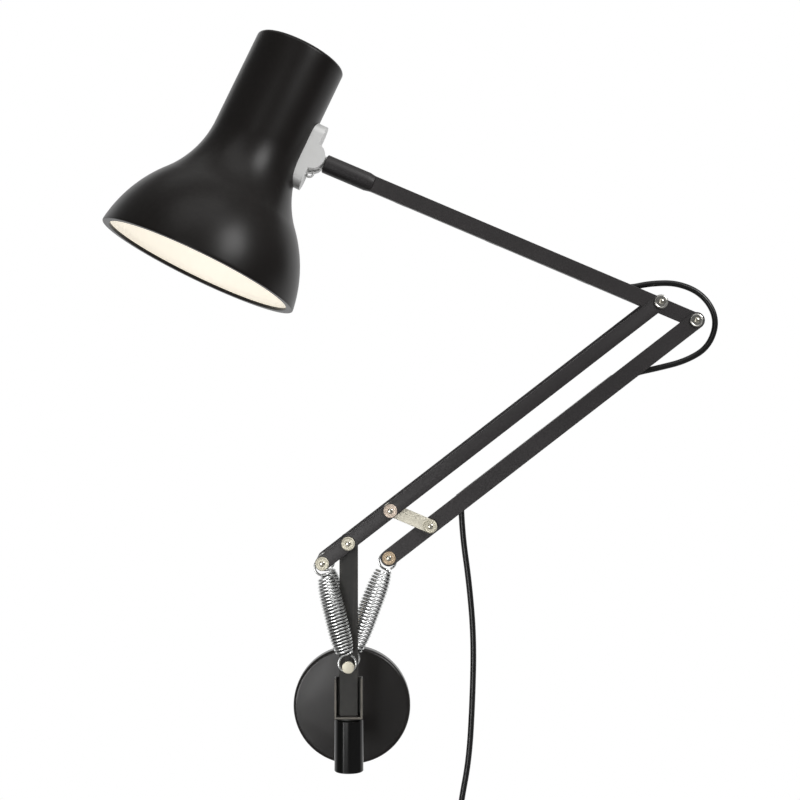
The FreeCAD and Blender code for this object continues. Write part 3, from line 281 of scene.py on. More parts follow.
def rounded(corners, radius, steps=5):
    """Polyline in the plane whose inner corners are replaced by arcs: each corner is cut back by radius
    times the tangent of half its turn and the arc is drawn between the two cuts."""
    corners = np.asarray(corners, float)
    radii = np.broadcast_to(np.asarray(radius, float), (len(corners),))
    out = [corners[:1]]
    for before, here, after, r in zip(corners[:-2], corners[1:-1], corners[2:], radii[1:-1]):
        a, b = unit(before - here), unit(after - here)
        turn = math.acos(np.clip(a @ b, -1, 1))
        if r <= 0 or turn > math.pi - 1e-3:
            out.append(here[None])
            continue
        room = 0.49 * min(np.linalg.norm(before - here), np.linalg.norm(after - here))
        cut = min(r / math.tan(turn / 2), room)
        r = cut * math.tan(turn / 2)
        centre = here + unit(a + b) * r / math.sin(turn / 2)
        start, end = here + a * cut - centre, here + b * cut - centre
        sweep = np.linspace(0, 1, steps + 1)[:, None]
        out.append(centre + unit((1 - sweep) * start + sweep * end) * r)
    out.append(corners[-1:])
    return np.vstack(out)


def obround(p, q, r, arc=24):
    """Closed outline round the segment from p to q at distance r: half circles joined by straight sides."""
    way = unit(q - p)
    side = np.cross(way, TOWARDS)
    t = np.linspace(-math.pi / 2, math.pi / 2, arc)[:, None]
    end = q + r * (np.cos(t) * way + np.sin(t) * side)
    start = p - r * (np.cos(t) * way + np.sin(t) * side)
    return np.vstack([end, start])


def flat_bar(name, p, q, width, v0, v1, edge):
    """Flat bar with round ends and softened edges: its outline is stacked in depth and drawn in by a quarter
    round at both faces."""
    t = np.linspace(0, math.pi / 2, 5)
    inset = edge * (1 - np.sin(t))
    rise = edge * (1 - np.cos(t))
    insets = np.concatenate([inset, inset[::-1]])
    low, high = min(v0, v1) * MM, max(v0, v1) * MM
    depths = np.concatenate([low + rise, high - rise[::-1]])
    p, q = plane_point(p, 0), plane_point(q, 0)
    rows = [obround(p, q, width / 2 - i) + TOWARDS * d for i, d in zip(insets, depths)]
    return grid_mesh(name, np.array(rows))


def tube(name, centres, radius, reference, sides=12):
    """Round tube: a circle square to the path at each centre, with its zero angle towards the reference."""
    centres = np.asarray(centres, float)
    way = unit(np.gradient(centres, axis=0))
    reference = np.broadcast_to(np.asarray(reference, float), centres.shape)
    u = unit(reference - (reference * way).sum(axis=1, keepdims=True) * way)
    w = np.cross(way, u)
    t = np.linspace(0, 2 * math.pi, sides, endpoint=False)
    circle = np.cos(t)[None, :, None] * u[:, None] + np.sin(t)[None, :, None] * w[:, None]
    return grid_mesh(name, centres[:, None] + radius * circle)


def hermite(p, way_p, q, way_q, steps):
    """Smooth bridge from p along way_p to q along way_q, both pulls as long as the chord."""
    t = np.linspace(0, 1, steps)[:, None]
    pull = np.linalg.norm(q - p)
    return ((2 * t ** 3 - 3 * t ** 2 + 1) * p + (t ** 3 - 2 * t ** 2 + t) * pull * way_p
            + (3 * t ** 2 - 2 * t ** 3) * q + (t ** 3 - t ** 2) * pull * way_q)


def refined_copy(node, bevel=0.0):
    """Copy of a node of the construction with its triangles merged, its flat faces made whole and its sharp
    edges softened by a bevel of the given width."""
    mesh = frame["nodes"][node].data.copy()
    mesh.materials.clear()
    work = bmesh.new()
    work.from_mesh(mesh)
    bmesh.ops.remove_doubles(work, verts=work.verts, dist=MERGE_DISTANCE)
    bmesh.ops.dissolve_limit(work, angle_limit=FLAT_ANGLE, verts=work.verts, edges=work.edges)
    work.to_mesh(mesh)
    work.free()
    if "custom_normal" in mesh.attributes:
        mesh.attributes.remove(mesh.attributes["custom_normal"])
    smooth(mesh)
    piece = placed(node + "_finished", mesh)
    if bevel:
        softener = piece.modifiers.new("softened edges", "BEVEL")
        softener.width = bevel
        softener.segments = 2
        softener.limit_method = "ANGLE"
        softener.angle_limit = BEVEL_ANGLE
        softener.use_clamp_overlap = True
    return piece


def joined(name, pieces):
    """One object from several that sit at the origin."""
    work = bmesh.new()
    for piece in pieces:
        mesh = piece.data
        work.from_mesh(mesh)
        bpy.data.objects.remove(piece)
        bpy.data.meshes.remove(mesh)
    mesh = bpy.data.meshes.new(name)
    work.to_mesh(mesh)
    work.free()
    smooth(mesh)
    return placed(name, mesh)


def dress(piece, coats, body, slot, *nodes):
    """Gives a piece its finishes and its body, and hides the nodes of the construction that it stands for."""
    for coat in coats if isinstance(coats, tuple) else (coats,):
        piece.data.materials.append(finish(coat))
    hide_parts(*nodes)
    if body:
        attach(piece, body)
    return piece


def dressed_copy(node, coats, body, slot, bevel=FINE_ROUND):
    """Refined copy of a node, finished and riding on its body in the node's place."""
    return dress(refined_copy(node, bevel), coats, body, slot, node)


# ---- shared shader effects ----
def new_group(name, inputs, outputs):
    """Empty shader group with float inputs (name, default) and float outputs."""
    group = bpy.data.node_groups.new(name, "ShaderNodeTree")
    for socket, default in inputs:
        made = group.interface.new_socket(name=socket, in_out="INPUT", socket_type="NodeSocketFloat")
        made.default_value = default
    for socket in outputs:
        group.interface.new_socket(name=socket, in_out="OUTPUT", socket_type="NodeSocketFloat")
    return group, group.nodes.new("NodeGroupInput"), group.nodes.new("NodeGroupOutput")


def add_node(tree, kind, values=(), **properties):
    """New node with some of its inputs set by name, and properties by keyword."""
    node = tree.nodes.new(kind)
    for key, value in properties.items():
        setattr(node, key, value)
    for key, value in dict(values).items():
        node.inputs[key].default_value = value
    return node


def feed(tree, value, socket):
    """Gives a socket its value: another node's output, a number or a colour."""
    if hasattr(value, "is_output"):
        tree.links.new(value, socket)
    else:
        socket.default_value = value


def in_own_space(tree, node):
    """Gives a node the piece's own coordinates."""
    place = tree.nodes.new("ShaderNodeTexCoord")
    tree.links.new(place.outputs["Object"], node.inputs[0])


def maths(tree, operation, a, b, clamp=False):
    """Math node whose inputs are sockets or numbers."""
    node = add_node(tree, "ShaderNodeMath", operation=operation, use_clamp=clamp)
    for socket, value in zip(node.inputs, (a, b)):
        feed(tree, value, socket)
    return node.outputs[0]


def grain_group():
    """Fine orange peel of sprayed paint: two noises of different size added up."""
    group, inside, outside = new_group("paint grain", [("Size", 900.0), ("Unevenness", 0.5)],
                                       ["Height", "Mottle"])
    fine = add_node(group, "ShaderNodeTexNoise", {"Detail": 2.0, "Roughness": 0.55})
    broad = add_node(group, "ShaderNodeTexNoise", {"Detail": 3.0, "Roughness": 0.5, "Scale": 34.0})
    in_own_space(group, fine)
    in_own_space(group, broad)
    group.links.new(inside.outputs["Size"], fine.inputs["Scale"])
    group.links.new(fine.outputs["Fac"], outside.inputs["Height"])
    uneven = maths(group, "SUBTRACT", broad.outputs["Fac"], 0.5)
    spread = maths(group, "MULTIPLY", uneven, inside.outputs["Unevenness"])
    group.links.new(maths(group, "ADD", spread, 0.5, clamp=True), outside.inputs["Mottle"])
    return group


def wear_group():
    """Rubbed edges: the mesh's outward bends, broken up by noise."""
    group, inside, outside = new_group("edge wear", [("Amount", 0.5), ("Break Up", 220.0)], ["Mask"])
    bends = group.nodes.new("ShaderNodeNewGeometry")
    noise = add_node(group, "ShaderNodeTexNoise", {"Detail": 4.0})
    in_own_space(group, noise)
    group.links.new(inside.outputs["Break Up"], noise.inputs["Scale"])
    outward = maths(group, "SUBTRACT", bends.outputs["Pointiness"], 0.52)
    sharp = maths(group, "MULTIPLY", outward, 12.0, clamp=True)
    broken = maths(group, "MULTIPLY", sharp, maths(group, "POWER", noise.outputs["Fac"], 2.0))
    mask = maths(group, "MULTIPLY", broken, inside.outputs["Amount"], clamp=True)
    group.links.new(mask, outside.inputs["Mask"])
    return group


def hairline_group():
    """Hairline marks of plated or turned metal: a noise stretched along one axis."""
    group, inside, outside = new_group("hairlines", [("Across", 1800.0), ("Along", 60.0)], ["Height", "Mask"])
    scales = group.nodes.new("ShaderNodeCombineXYZ")
    for axis, way in zip("XYZ", ("Along", "Across", "Across")):
        group.links.new(inside.outputs[way], scales.inputs[axis])
    stretch = add_node(group, "ShaderNodeMapping", vector_type="POINT")
    in_own_space(group, stretch)
    group.links.new(scales.outputs["Vector"], stretch.inputs["Scale"])
    noise = add_node(group, "ShaderNodeTexNoise", {"Scale": 1.0, "Detail": 3.0})
    group.links.new(stretch.outputs["Vector"], noise.inputs["Vector"])
    group.links.new(noise.outputs["Fac"], outside.inputs["Height"])
    ramp = add_node(group, "ShaderNodeMapRange", {"From Min": 0.35, "From Max": 0.7})
    group.links.new(noise.outputs["Fac"], ramp.inputs["Value"])
    group.links.new(ramp.outputs["Result"], outside.inputs["Mask"])
    return group


def dust_group():
    """Thin dust on what faces up: the surface's upward part, broken up by noise."""
    group, inside, outside = new_group("resting dust", [("Amount", 0.1)], ["Mask"])
    facing = group.nodes.new("ShaderNodeSeparateXYZ")
    surface = group.nodes.new("ShaderNodeNewGeometry")
    group.links.new(surface.outputs["Normal"], facing.inputs["Vector"])
    noise = add_node(group, "ShaderNodeTexNoise", {"Scale": 320.0, "Detail": 5.0, "Roughness": 0.6})
    in_own_space(group, noise)
    upward = maths(group, "MULTIPLY", maths(group, "MAXIMUM", facing.outputs["Z"], 0.0), noise.outputs["Fac"])
    mask = maths(group, "MULTIPLY", upward, inside.outputs["Amount"], clamp=True)
    group.links.new(mask, outside.inputs["Mask"])
    return group


SHARED = {}


def shared(name, tree, **values):
    """Places one of the shared effects in a material with its own values."""
    if not SHARED:
        SHARED.update(grain=grain_group(), wear=wear_group(), hairlines=hairline_group(), dust=dust_group())
    node = tree.nodes.new("ShaderNodeGroup")
    node.node_tree = SHARED[name]
    for key, value in values.items():
        node.inputs[key].default_value = value
    return node


def start_material(name, base, metallic=0.0):
    """Material of one base colour, with its node tree and main shader."""
    material = bpy.data.materials.new(name)
    material.use_nodes = True
    tree = material.node_tree
    shader = tree.nodes["Principled BSDF"]
    shader.inputs["Base Color"].default_value = (*base, 1)
    shader.inputs["Metallic"].default_value = metallic
    return material, tree, shader


def mix_colours(tree, mask, a, b):
    """Colour between a and b by a mask; each is a socket or a plain colour."""
    mix = add_node(tree, "ShaderNodeMix", data_type="RGBA")
    tree.links.new(mask, mix.inputs["Factor"])
    for key, value in (("A", a), ("B", b)):
        socket = [s for s in mix.inputs if s.name == key and s.type == "RGBA"][0]
        feed(tree, (*value, 1) if isinstance(value, tuple) else value, socket)
    return [s for s in mix.outputs if s.type == "RGBA"][0]


def between(tree, mask, low, high):
    """Value between low and high by a mask."""
    node = add_node(tree, "ShaderNodeMapRange", {"To Min": low, "To Max": high})
    tree.links.new(mask, node.inputs["Value"])
    return node.outputs["Result"]


PAINT_RELIEF = 0.00002         # depth of the peel of paint and the grain of castings and mouldings
METAL_RELIEF = 0.00001         # depth of the marks of plated and turned metal
DUST_ON_PAINT = (0.35, 0.34, 0.32)
DUST_ON_PLASTIC = (0.3, 0.3, 0.29)
RUBBED_PAINT = (0.060, 0.054, 0.046)   # added to the paint's tripled colour where an edge is rubbed
RUBBED_CASTING = (0.85, 0.85, 0.84)


def bump(tree, height, distance, strength, shader):
    """Lets a height stir the shader's normal."""
    node = add_node(tree, "ShaderNodeBump", {"Distance": distance, "Strength": strength})
    tree.links.new(height, node.inputs["Height"])
    tree.links.new(node.outputs["Normal"], shader.inputs["Normal"])


def painted(name, base, roughness=(0.40, 0.50), peel=0.25, wear=0.35, dust=0.05, sheen=0.5):
    """Sprayed paint: mottled sheen, fine peel, rubbed edges and a little dust."""
    material, tree, shader = start_material(name, base)
    shader.inputs["Specular IOR Level"].default_value = sheen
    grain = shared("grain", tree, Size=1500.0, Unevenness=1.2)
    worn = shared("wear", tree, Amount=wear)
    resting = shared("dust", tree, Amount=dust)
    lighter = tuple(min(1.0, c * 1.35 + 0.002) for c in base)
    rubbed = tuple(c * 3.0 + f for c, f in zip(base, RUBBED_PAINT))
    colour_now = mix_colours(tree, grain.outputs["Mottle"], base, lighter)
    colour_now = mix_colours(tree, worn.outputs["Mask"], colour_now, rubbed)
    colour_now = mix_colours(tree, resting.outputs["Mask"], colour_now, DUST_ON_PAINT)
    tree.links.new(colour_now, shader.inputs["Base Color"])
    tree.links.new(between(tree, grain.outputs["Mottle"], *roughness), shader.inputs["Roughness"])
    bump(tree, grain.outputs["Height"], PAINT_RELIEF, peel, shader)
    return material


def plated(name, base, metallic=1.0, marks=(2600.0, 240.0), blotches=(700.0, 1.6), duller=(0.85, 0.85, 0.85),
           roughness=(0.22, 0.36), relief=0.2):
    """Plated or turned metal: hairlines, uneven polish and a slightly duller tone in the mottle."""
    material, tree, shader = start_material(name, base, metallic)
    lines = shared("hairlines", tree, Across=marks[0], Along=marks[1])
    grain = shared("grain", tree, Size=blotches[0], Unevenness=blotches[1])
    dull = tuple(c * f for c, f in zip(base, duller))
    tree.links.new(mix_colours(tree, grain.outputs["Mottle"], base, dull), shader.inputs["Base Color"])
    tree.links.new(between(tree, lines.outputs["Mask"], *roughness), shader.inputs["Roughness"])
    bump(tree, lines.outputs["Height"], METAL_RELIEF, relief, shader)
    return material


def turned_disc(name, base):
    """Dull plated face with a soft sheen: a third metal, uneven in tone, with fine turning marks."""
    return plated(name, base, 0.35, (1900.0, 420.0), (900.0, 1.4), (0.82, 0.80, 0.76), (0.38, 0.5), 0.25)


def cast_metal(name, base):
    """Satin cast metal: soft sparkle and a very fine sandy surface."""
    material, tree, shader = start_material(name, base, metallic=0.35)
    grain = shared("grain", tree, Size=2600.0, Unevenness=0.8)
    worn = shared("wear", tree, Amount=0.3)
    paler = tuple(min(1.0, c * 1.12) for c in base)
    colour_now = mix_colours(tree, grain.outputs["Mottle"], base, paler)
    colour_now = mix_colours(tree, worn.outputs["Mask"], colour_now, RUBBED_CASTING)
    tree.links.new(colour_now, shader.inputs["Base Color"])
    tree.links.new(between(tree, grain.outputs["Height"], 0.42, 0.56), shader.inputs["Roughness"])
    bump(tree, grain.outputs["Height"], PAINT_RELIEF, 0.35, shader)
    return material


def moulded(name, base, roughness=(0.45, 0.6), peel=0.4):
    """Moulded plastic or a cable's sheath: fine texture and uneven sheen."""
    material, tree, shader = start_material(name, base)
    shader.inputs["Specular IOR Level"].default_value = 0.36
    grain = shared("grain", tree, Size=2200.0, Unevenness=1.0)
    resting = shared("dust", tree, Amount=0.08)
    paler = tuple(c * 1.5 + 0.002 for c in base)
    colour_now = mix_colours(tree, grain.outputs["Mottle"], base, paler)
    colour_now = mix_colours(tree, resting.outputs["Mask"], colour_now, DUST_ON_PLASTIC)
    tree.links.new(colour_now, shader.inputs["Base Color"])
    tree.links.new(between(tree, grain.outputs["Mottle"], *roughness), shader.inputs["Roughness"])
    bump(tree, grain.outputs["Height"], PAINT_RELIEF, peel, shader)
    return material


def share_down_shade(tree, deep, shallow):
    """Share along the shade's axis, from 0 at the first distance from its crown to 1 at the second."""
    top, down = shade_axis()
    from_top = add_node(tree, "ShaderNodeVectorMath", {1: tuple(top)}, operation="SUBTRACT")
    in_own_space(tree, from_top)
    along = add_node(tree, "ShaderNodeVectorMath", {1: tuple(down)}, operation="DOT_PRODUCT")
    tree.links.new(from_top.outputs["Vector"], along.inputs[0])
    share = add_node(tree, "ShaderNodeMapRange", {"From Min": deep, "From Max": shallow})
    tree.links.new(along.outputs["Value"], share.inputs["Value"])
    return share.outputs["Result"]


CROWN_GLOW_SHARE = 0.1     # of the painted glow at the rim that is left at the shade's crown, as painted shade deep inside


def glowing_white(name, base, glow, strength, fade=None):
    """White with its own light, even or fading with depth in the shade as fade's two distances from the crown
    say, and a little mottle in its paint.  On the shade's enamel the glow is painted light and its fade is
    painted shade."""
    material, tree, shader = start_material(name, base)
    grain = shared("grain", tree, Size=1200.0, Unevenness=1.0)
    warmer = tuple(c * f for c, f in zip(base, (1.0, 0.98, 0.95)))
    dimmer = tuple(c * 0.97 for c in glow)
    tree.links.new(mix_colours(tree, grain.outputs["Mottle"], base, warmer), shader.inputs["Base Color"])
    tree.links.new(mix_colours(tree, grain.outputs["Mottle"], glow, dimmer), shader.inputs["Emission Color"])
    shader.inputs["Emission Strength"].default_value = strength
    if fade:
        fading = between(tree, share_down_shade(tree, *fade), CROWN_GLOW_SHARE * strength, strength)
        tree.links.new(fading, shader.inputs["Emission Strength"])
    shader.inputs["Roughness"].default_value = 0.5
    bump(tree, grain.outputs["Height"], PAINT_RELIEF, 0.2, shader)
    return material


FINISHES = {}


def finish(name):
    """The lamp's finishes, each made once from the chosen colours."""
    if not FINISHES:
        c = bpy.context.scene.lamp_colours
        FINISHES.update(
            paint=painted("satin black paint", tuple(c.paint), roughness=(0.31, 0.39), sheen=0.21),
            arm_paint=painted("arm paint", tuple(c.bars), roughness=(0.42, 0.50), peel=0.12, wear=0.3),
            plate_paint=painted("plate paint", tuple(c.paint), roughness=(0.26, 0.34), wear=0.3, sheen=0.38),
            post_paint=painted("post paint", tuple(c.post), roughness=(0.42, 0.52), wear=0.8, sheen=0.4),
            # painted highlight on the post's forward-facing cut edges
            cut_edge=painted("cut edge highlight", tuple(c.cut), roughness=(0.4, 0.5), wear=0.8),
            gloss=painted("gloss black paint", tuple(c.gloss), roughness=(0.16, 0.22), peel=0.12, wear=0.2,
                          sheen=0.2),
            # painted glow on the shade's enamel in place of the lamp's light, fading deeper in as painted
            # shade
            inside=glowing_white("enamel with painted glow", tuple(c.inside), tuple(c.glow), 0.47, fade=(0.055, 0.125)),
            opal=glowing_white("opal lamp", (0.95, 0.93, 0.88), tuple(c.glow), 1.0),
            button=plated("polished button", tuple(c.button), roughness=(0.16, 0.26)),
            disc=turned_disc("pale turned disc", tuple(c.disc)),
            rosy=turned_disc("rosy turned disc", tuple(c.rosy)),
            tan=turned_disc("tan turned disc", tuple(c.tan)),
            bright=plated("polished turned disc", tuple(c.bright), roughness=(0.2, 0.32)),
            link_plate=turned_disc("pale link plate", tuple(c.link_plate)),
            zinc=plated("bright zinc", tuple(c.zinc), roughness=(0.2, 0.32), relief=0.1),
            # painted shade on the coils' inner faces
            wire_inside=plated("zinc under painted shade", tuple(c.wire_inside), roughness=(0.4, 0.5), relief=0.1),
            steel=plated("turned steel", tuple(c.steel), roughness=(0.28, 0.42)),
            brass=plated("plated brass", tuple(c.brass)),
            silver=cast_metal("satin cast silver", tuple(c.silver)),
            sheath=moulded("lead sheath", tuple(c.sheath), roughness=(0.24, 0.34), peel=0.15),
            plastic=moulded("black plastic", tuple(c.plastic)),
            white=painted("white enamel", tuple(c.inside), roughness=(0.4, 0.5), wear=0.1),
        )
    return FINISHES[name]


# ---- stage ----
PHOTO_SIDE_PX = 800
SCALE_MM_PER_PX = 0.6          # in the plane of the swivel axis
VIEW_DISTANCE = 1.0            # from the camera to that plane
VIEW_CENTRE = (0.03064, 0.1945)  # X and Z that the middle of the picture looks at
SENSOR_MM = 36
FLOOR_BELOW = 0.06             # room for the plug to sink to as the lower arm swings down
NEAR_WHITE = 0.68              # share of plain white that the camera sees on the near floor
ALL_WHITE_FROM, ALL_WHITE_AT = 0.05, 0.4   # Y where the floor turns to plain white, as it is looked at
UNSEEN_WORLD = 0.20            # strength of the world where it isn't looked at
FLOOR_HALF_WIDTH = 7.0
LAMP_MIDDLE = (0.03, -0.07, 0.18)
LIGHTS = (                     # name, place, target, width and height, watts, spread in degrees
    ("key", (1.04, -1.0, 1.03), LAMP_MIDDLE, (0.6, 0.6), 15, 180),
    ("front", (-0.30, -1.65, 0.72), LAMP_MIDDLE, (0.45, 0.6), 1.6, 180),
    ("upper", (0.2, -1.3, 2.6), LAMP_MIDDLE, (2.2, 1.4), 15, 180),
    ("top", (0.05, 0.35, 1.8), LAMP_MIDDLE, (1.6, 0.5), 2, 180),
    ("strip", (-0.30, -0.42, -0.09), (0.0, -0.07, -0.05), (0.03, 0.10), 0.018, 60),
    ("card", (-0.33, -0.95, -0.03), (0.0, 0.0, 0.0), (0.5, 0.26), 0.32, 50),
)


def area_light(name, place, target, size, watts, spread):
    """Soft rectangular light that the camera doesn't see, aimed at a point."""
    light = bpy.data.lights.new(name, "AREA")
    light.shape = "RECTANGLE"
    light.size, light.size_y = size
    light.energy = watts
    light.spread = math.radians(spread)
    lamp = bpy.data.objects.new(name, light)
    lamp.location = place
    lamp.rotation_euler = (Vector(target) - Vector(place)).to_track_quat("-Z", "Y").to_euler()
    lamp.visible_camera = False
    bpy.context.scene.collection.objects.link(lamp)


def white_where_seen(tree, shader_output, near_share, far):
    """Mixes plain white into the floor and backdrop where they are looked at: all of it far behind the
    lamp, for the camera, mirrors and glass, and a share of it on the near floor for the camera, which keeps
    the shadow."""
    path = tree.nodes.new("ShaderNodeLightPath")
    bent = maths(tree, "MAXIMUM", path.outputs["Is Glossy Ray"], path.outputs["Is Transmission Ray"])
    looked_at = maths(tree, "MAXIMUM", path.outputs["Is Camera Ray"], bent)
    near = maths(tree, "MULTIPLY", path.outputs["Is Camera Ray"], near_share)
    share = maths(tree, "MAXIMUM", near, maths(tree, "MULTIPLY", looked_at, far))
    white = add_node(tree, "ShaderNodeEmission", {"Color": (1, 1, 1, 1), "Strength": 1.0})
    mix = tree.nodes.new("ShaderNodeMixShader")
    tree.links.new(share, mix.inputs["Fac"])
    tree.links.new(shader_output, mix.inputs[1])
    tree.links.new(white.outputs["Emission"], mix.inputs[2])
    return mix.outputs["Shader"]


class LAMP_OT_stage(bpy.types.Operator):
    """Adds the floor, backdrop, soft lights, world and camera"""
    bl_idname = "lamp.stage"
    bl_label = "Stage"
    bl_options = {"REGISTER", "UNDO"}

    def execute(self, context):
        context.scene.view_settings.view_transform = "Standard"
        self.camera(context)
        self.floor_and_backdrop(context)
        self.world(context)
        for light in LIGHTS:
            area_light(*light)
        return {"FINISHED"}

    def camera(self, context):
        """Camera straight in front of the lamp, with the photo's scale in the plane of the swivel axis."""
        camera = bpy.data.cameras.new("camera")
        camera.sensor_width = SENSOR_MM
        camera.lens = SENSOR_MM * VIEW_DISTANCE / (PHOTO_SIDE_PX * SCALE_MM_PER_PX * MM)
        camera.clip_start, camera.clip_end = 0.02, 40
        viewer = bpy.data.objects.new("camera", camera)
        viewer.location = (VIEW_CENTRE[0], -ARM_OUT - VIEW_DISTANCE, VIEW_CENTRE[1])
        viewer.rotation_euler = (math.radians(90), 0, 0)
        context.scene.collection.objects.link(viewer)
        context.scene.camera = viewer

    def floor_and_backdrop(self, context):
        """Flat floor that curves up into a wall far behind: straight, quarter circle, straight."""
        low = CAD_BOX[0][2] - FLOOR_BELOW
        bend, back, front, top = 1.2, 5.2, -5.0, 4.6
        t = np.linspace(0, math.pi / 2, 24)
        y = np.concatenate([[front], back - bend + bend * np.sin(t), [back]])
        z = np.concatenate([[low], low + bend * (1 - np.cos(t)), [top]])
        x = np.array([-FLOOR_HALF_WIDTH, FLOOR_HALF_WIDTH])
        sheet = np.stack(np.broadcast_arrays(x[None, :], y[:, None], z[:, None]), axis=-1)
        rows = len(y)
        i = np.arange(rows - 1)
        faces = np.stack([2 * i, 2 * i + 1, 2 * i + 3, 2 * i + 2], axis=-1)
        mesh = bpy.data.meshes.new("floor_and_backdrop")
        mesh.from_pydata(sheet.reshape(-1, 3).tolist(), [], faces.tolist())
        mesh.shade_smooth()
        piece = placed("floor_and_backdrop", mesh)
        material, tree, shader = start_material("pale floor", tuple(context.scene.lamp_colours.floor))
        shader.inputs["Roughness"].default_value = 0.9
        shader.inputs["Specular IOR Level"].default_value = 0.1
        parts = tree.nodes.new("ShaderNodeSeparateXYZ")
        in_own_space(tree, parts)
        far = add_node(tree, "ShaderNodeMapRange", {"From Min": ALL_WHITE_FROM, "From Max": ALL_WHITE_AT})
        tree.links.new(parts.outputs["Y"], far.inputs["Value"])
        white = white_where_seen(tree, shader.outputs["BSDF"], NEAR_WHITE, far.outputs["Result"])
        tree.links.new(white, tree.nodes["Material Output"].inputs["Surface"])
        mesh.materials.append(material)

    def world(self, context):
        """Plain white world that is dim where it isn't looked at."""
        world = bpy.data.worlds.new("studio")
        world.use_nodes = True
        tree = world.node_tree
        background = tree.nodes["Background"]
        background.inputs["Color"].default_value = (1, 1, 1, 1)
        path = tree.nodes.new("ShaderNodeLightPath")
        seen = maths(tree, "MAXIMUM", path.outputs["Is Camera Ray"], path.outputs["Is Transmission Ray"])
        tree.links.new(between(tree, seen, UNSEEN_WORLD, 1.0), background.inputs["Strength"])
        context.scene.world = world


# ---- lead ----
# Control points, as X, Z and depth v for the loop and as X and Z for the drop.
LOOP_ROUTE_MM = [(149.8, 267.3, -6.6), (159.0, 263.4, -6.6), (169.5, 262.2, -6.5), (181.5, 264.9, -6.4),
                 (198.5, 265.2, -6.2), (214.0, 258.0, -5.8), (222.3, 243.0, -5.4), (217.0, 226.5, -5.2),
                 (203.0, 218.0, -5.0), (185.5, 213.6, -4.9), (170.5, 210.4, -4.8)]
DROP_ROUTE_MM = [(67.9, 116.0), (72.4, 84.0), (75.2, 50.0), (74.3, 12.0), (72.3, -22.0), (67.4, -48.0),
                 (65.8, -64.0)]
LEAD_V = -4.8
CLIP_ROUND = 0.00025
CHANNEL_FROM_TOP_MM = 60.0     # from the lower bar's top to where the loop meets the channel's lead
COIL_CENTRE_Z_MM = -78.0
COIL_STEP_MM = 4.1             # between neighbouring turns and between layers
COIL_LAYERS = 4
COIL_LAYER_TURNS = 2
COIL_POINTS_PER_TURN = 16
COIL_EASE_TURN = 0.5           # part of a turn over which the coil climbs to its next layer
LOOP_SAMPLES, LEAD_SAMPLES = 10, 8


def nurbs_points(name, route, resolution):
    """Points of the smooth line whose control points are the route: a NURBS of order 3 that starts and ends
    on its first and last points."""
    curve = bpy.data.curves.new(name, "CURVE")
    curve.dimensions = "3D"
    curve.resolution_u = resolution
    spline = curve.splines.new("NURBS")
    spline.points.add(len(route) - 1)
    flat = np.hstack([np.asarray(route), np.ones((len(route), 1))]).ravel()
    spline.points.foreach_set("co", flat)
    spline.order_u = 3
    spline.use_endpoint_u = True
    holder = bpy.data.objects.new(name, curve)
    bpy.context.scene.collection.objects.link(holder)
    mesh = bpy.data.meshes.new_from_object(holder)
    points = np.zeros(len(mesh.vertices) * 3)
    mesh.vertices.foreach_get("co", points)
    bpy.data.objects.remove(holder)
    bpy.data.meshes.remove(mesh)
    return points.reshape(-1, 3)


def coil_route(sizes):
    """Control points of the put-away coil: the turns spiral in and out again, layer by layer, and each
    climb to the next layer is eased over the half turn where the spiral reverses."""
    step = COIL_STEP_MM * MM
    outer = sizes.coil_radius + step * COIL_LAYER_TURNS / 2
    start_x = DROP_ROUTE_MM[-1][0] * MM
    centre = plane_point((start_x + outer, 0, COIL_CENTRE_Z_MM * MM - sizes.lead), LEAD_V)
    turns = COIL_LAYERS * COIL_LAYER_TURNS
    t = np.arange(COIL_POINTS_PER_TURN * turns + 1) / COIL_POINTS_PER_TURN
    layer = np.minimum((t / COIL_LAYER_TURNS).astype(int), COIL_LAYERS - 1)
    within = t - layer * COIL_LAYER_TURNS
    inwards = layer % 2 == 0
    r = outer - step * np.where(inwards, within, COIL_LAYER_TURNS - within)
    reversals = np.arange(1, COIL_LAYERS) * COIL_LAYER_TURNS
    ease = np.clip((t[:, None] - reversals) / COIL_EASE_TURN + 0.5, 0, 1)
    lift = (step * ease ** 2 * (3 - 2 * ease)).sum(axis=1)
    a = math.pi + 2 * math.pi * t
    coil = centre + np.stack([r * np.cos(a), -lift, r * np.sin(a)], axis=-1)
    down = np.array([0, 0, -sizes.lead])
    return np.vstack([coil, coil[-1] + down, coil[-1] + 2 * down])


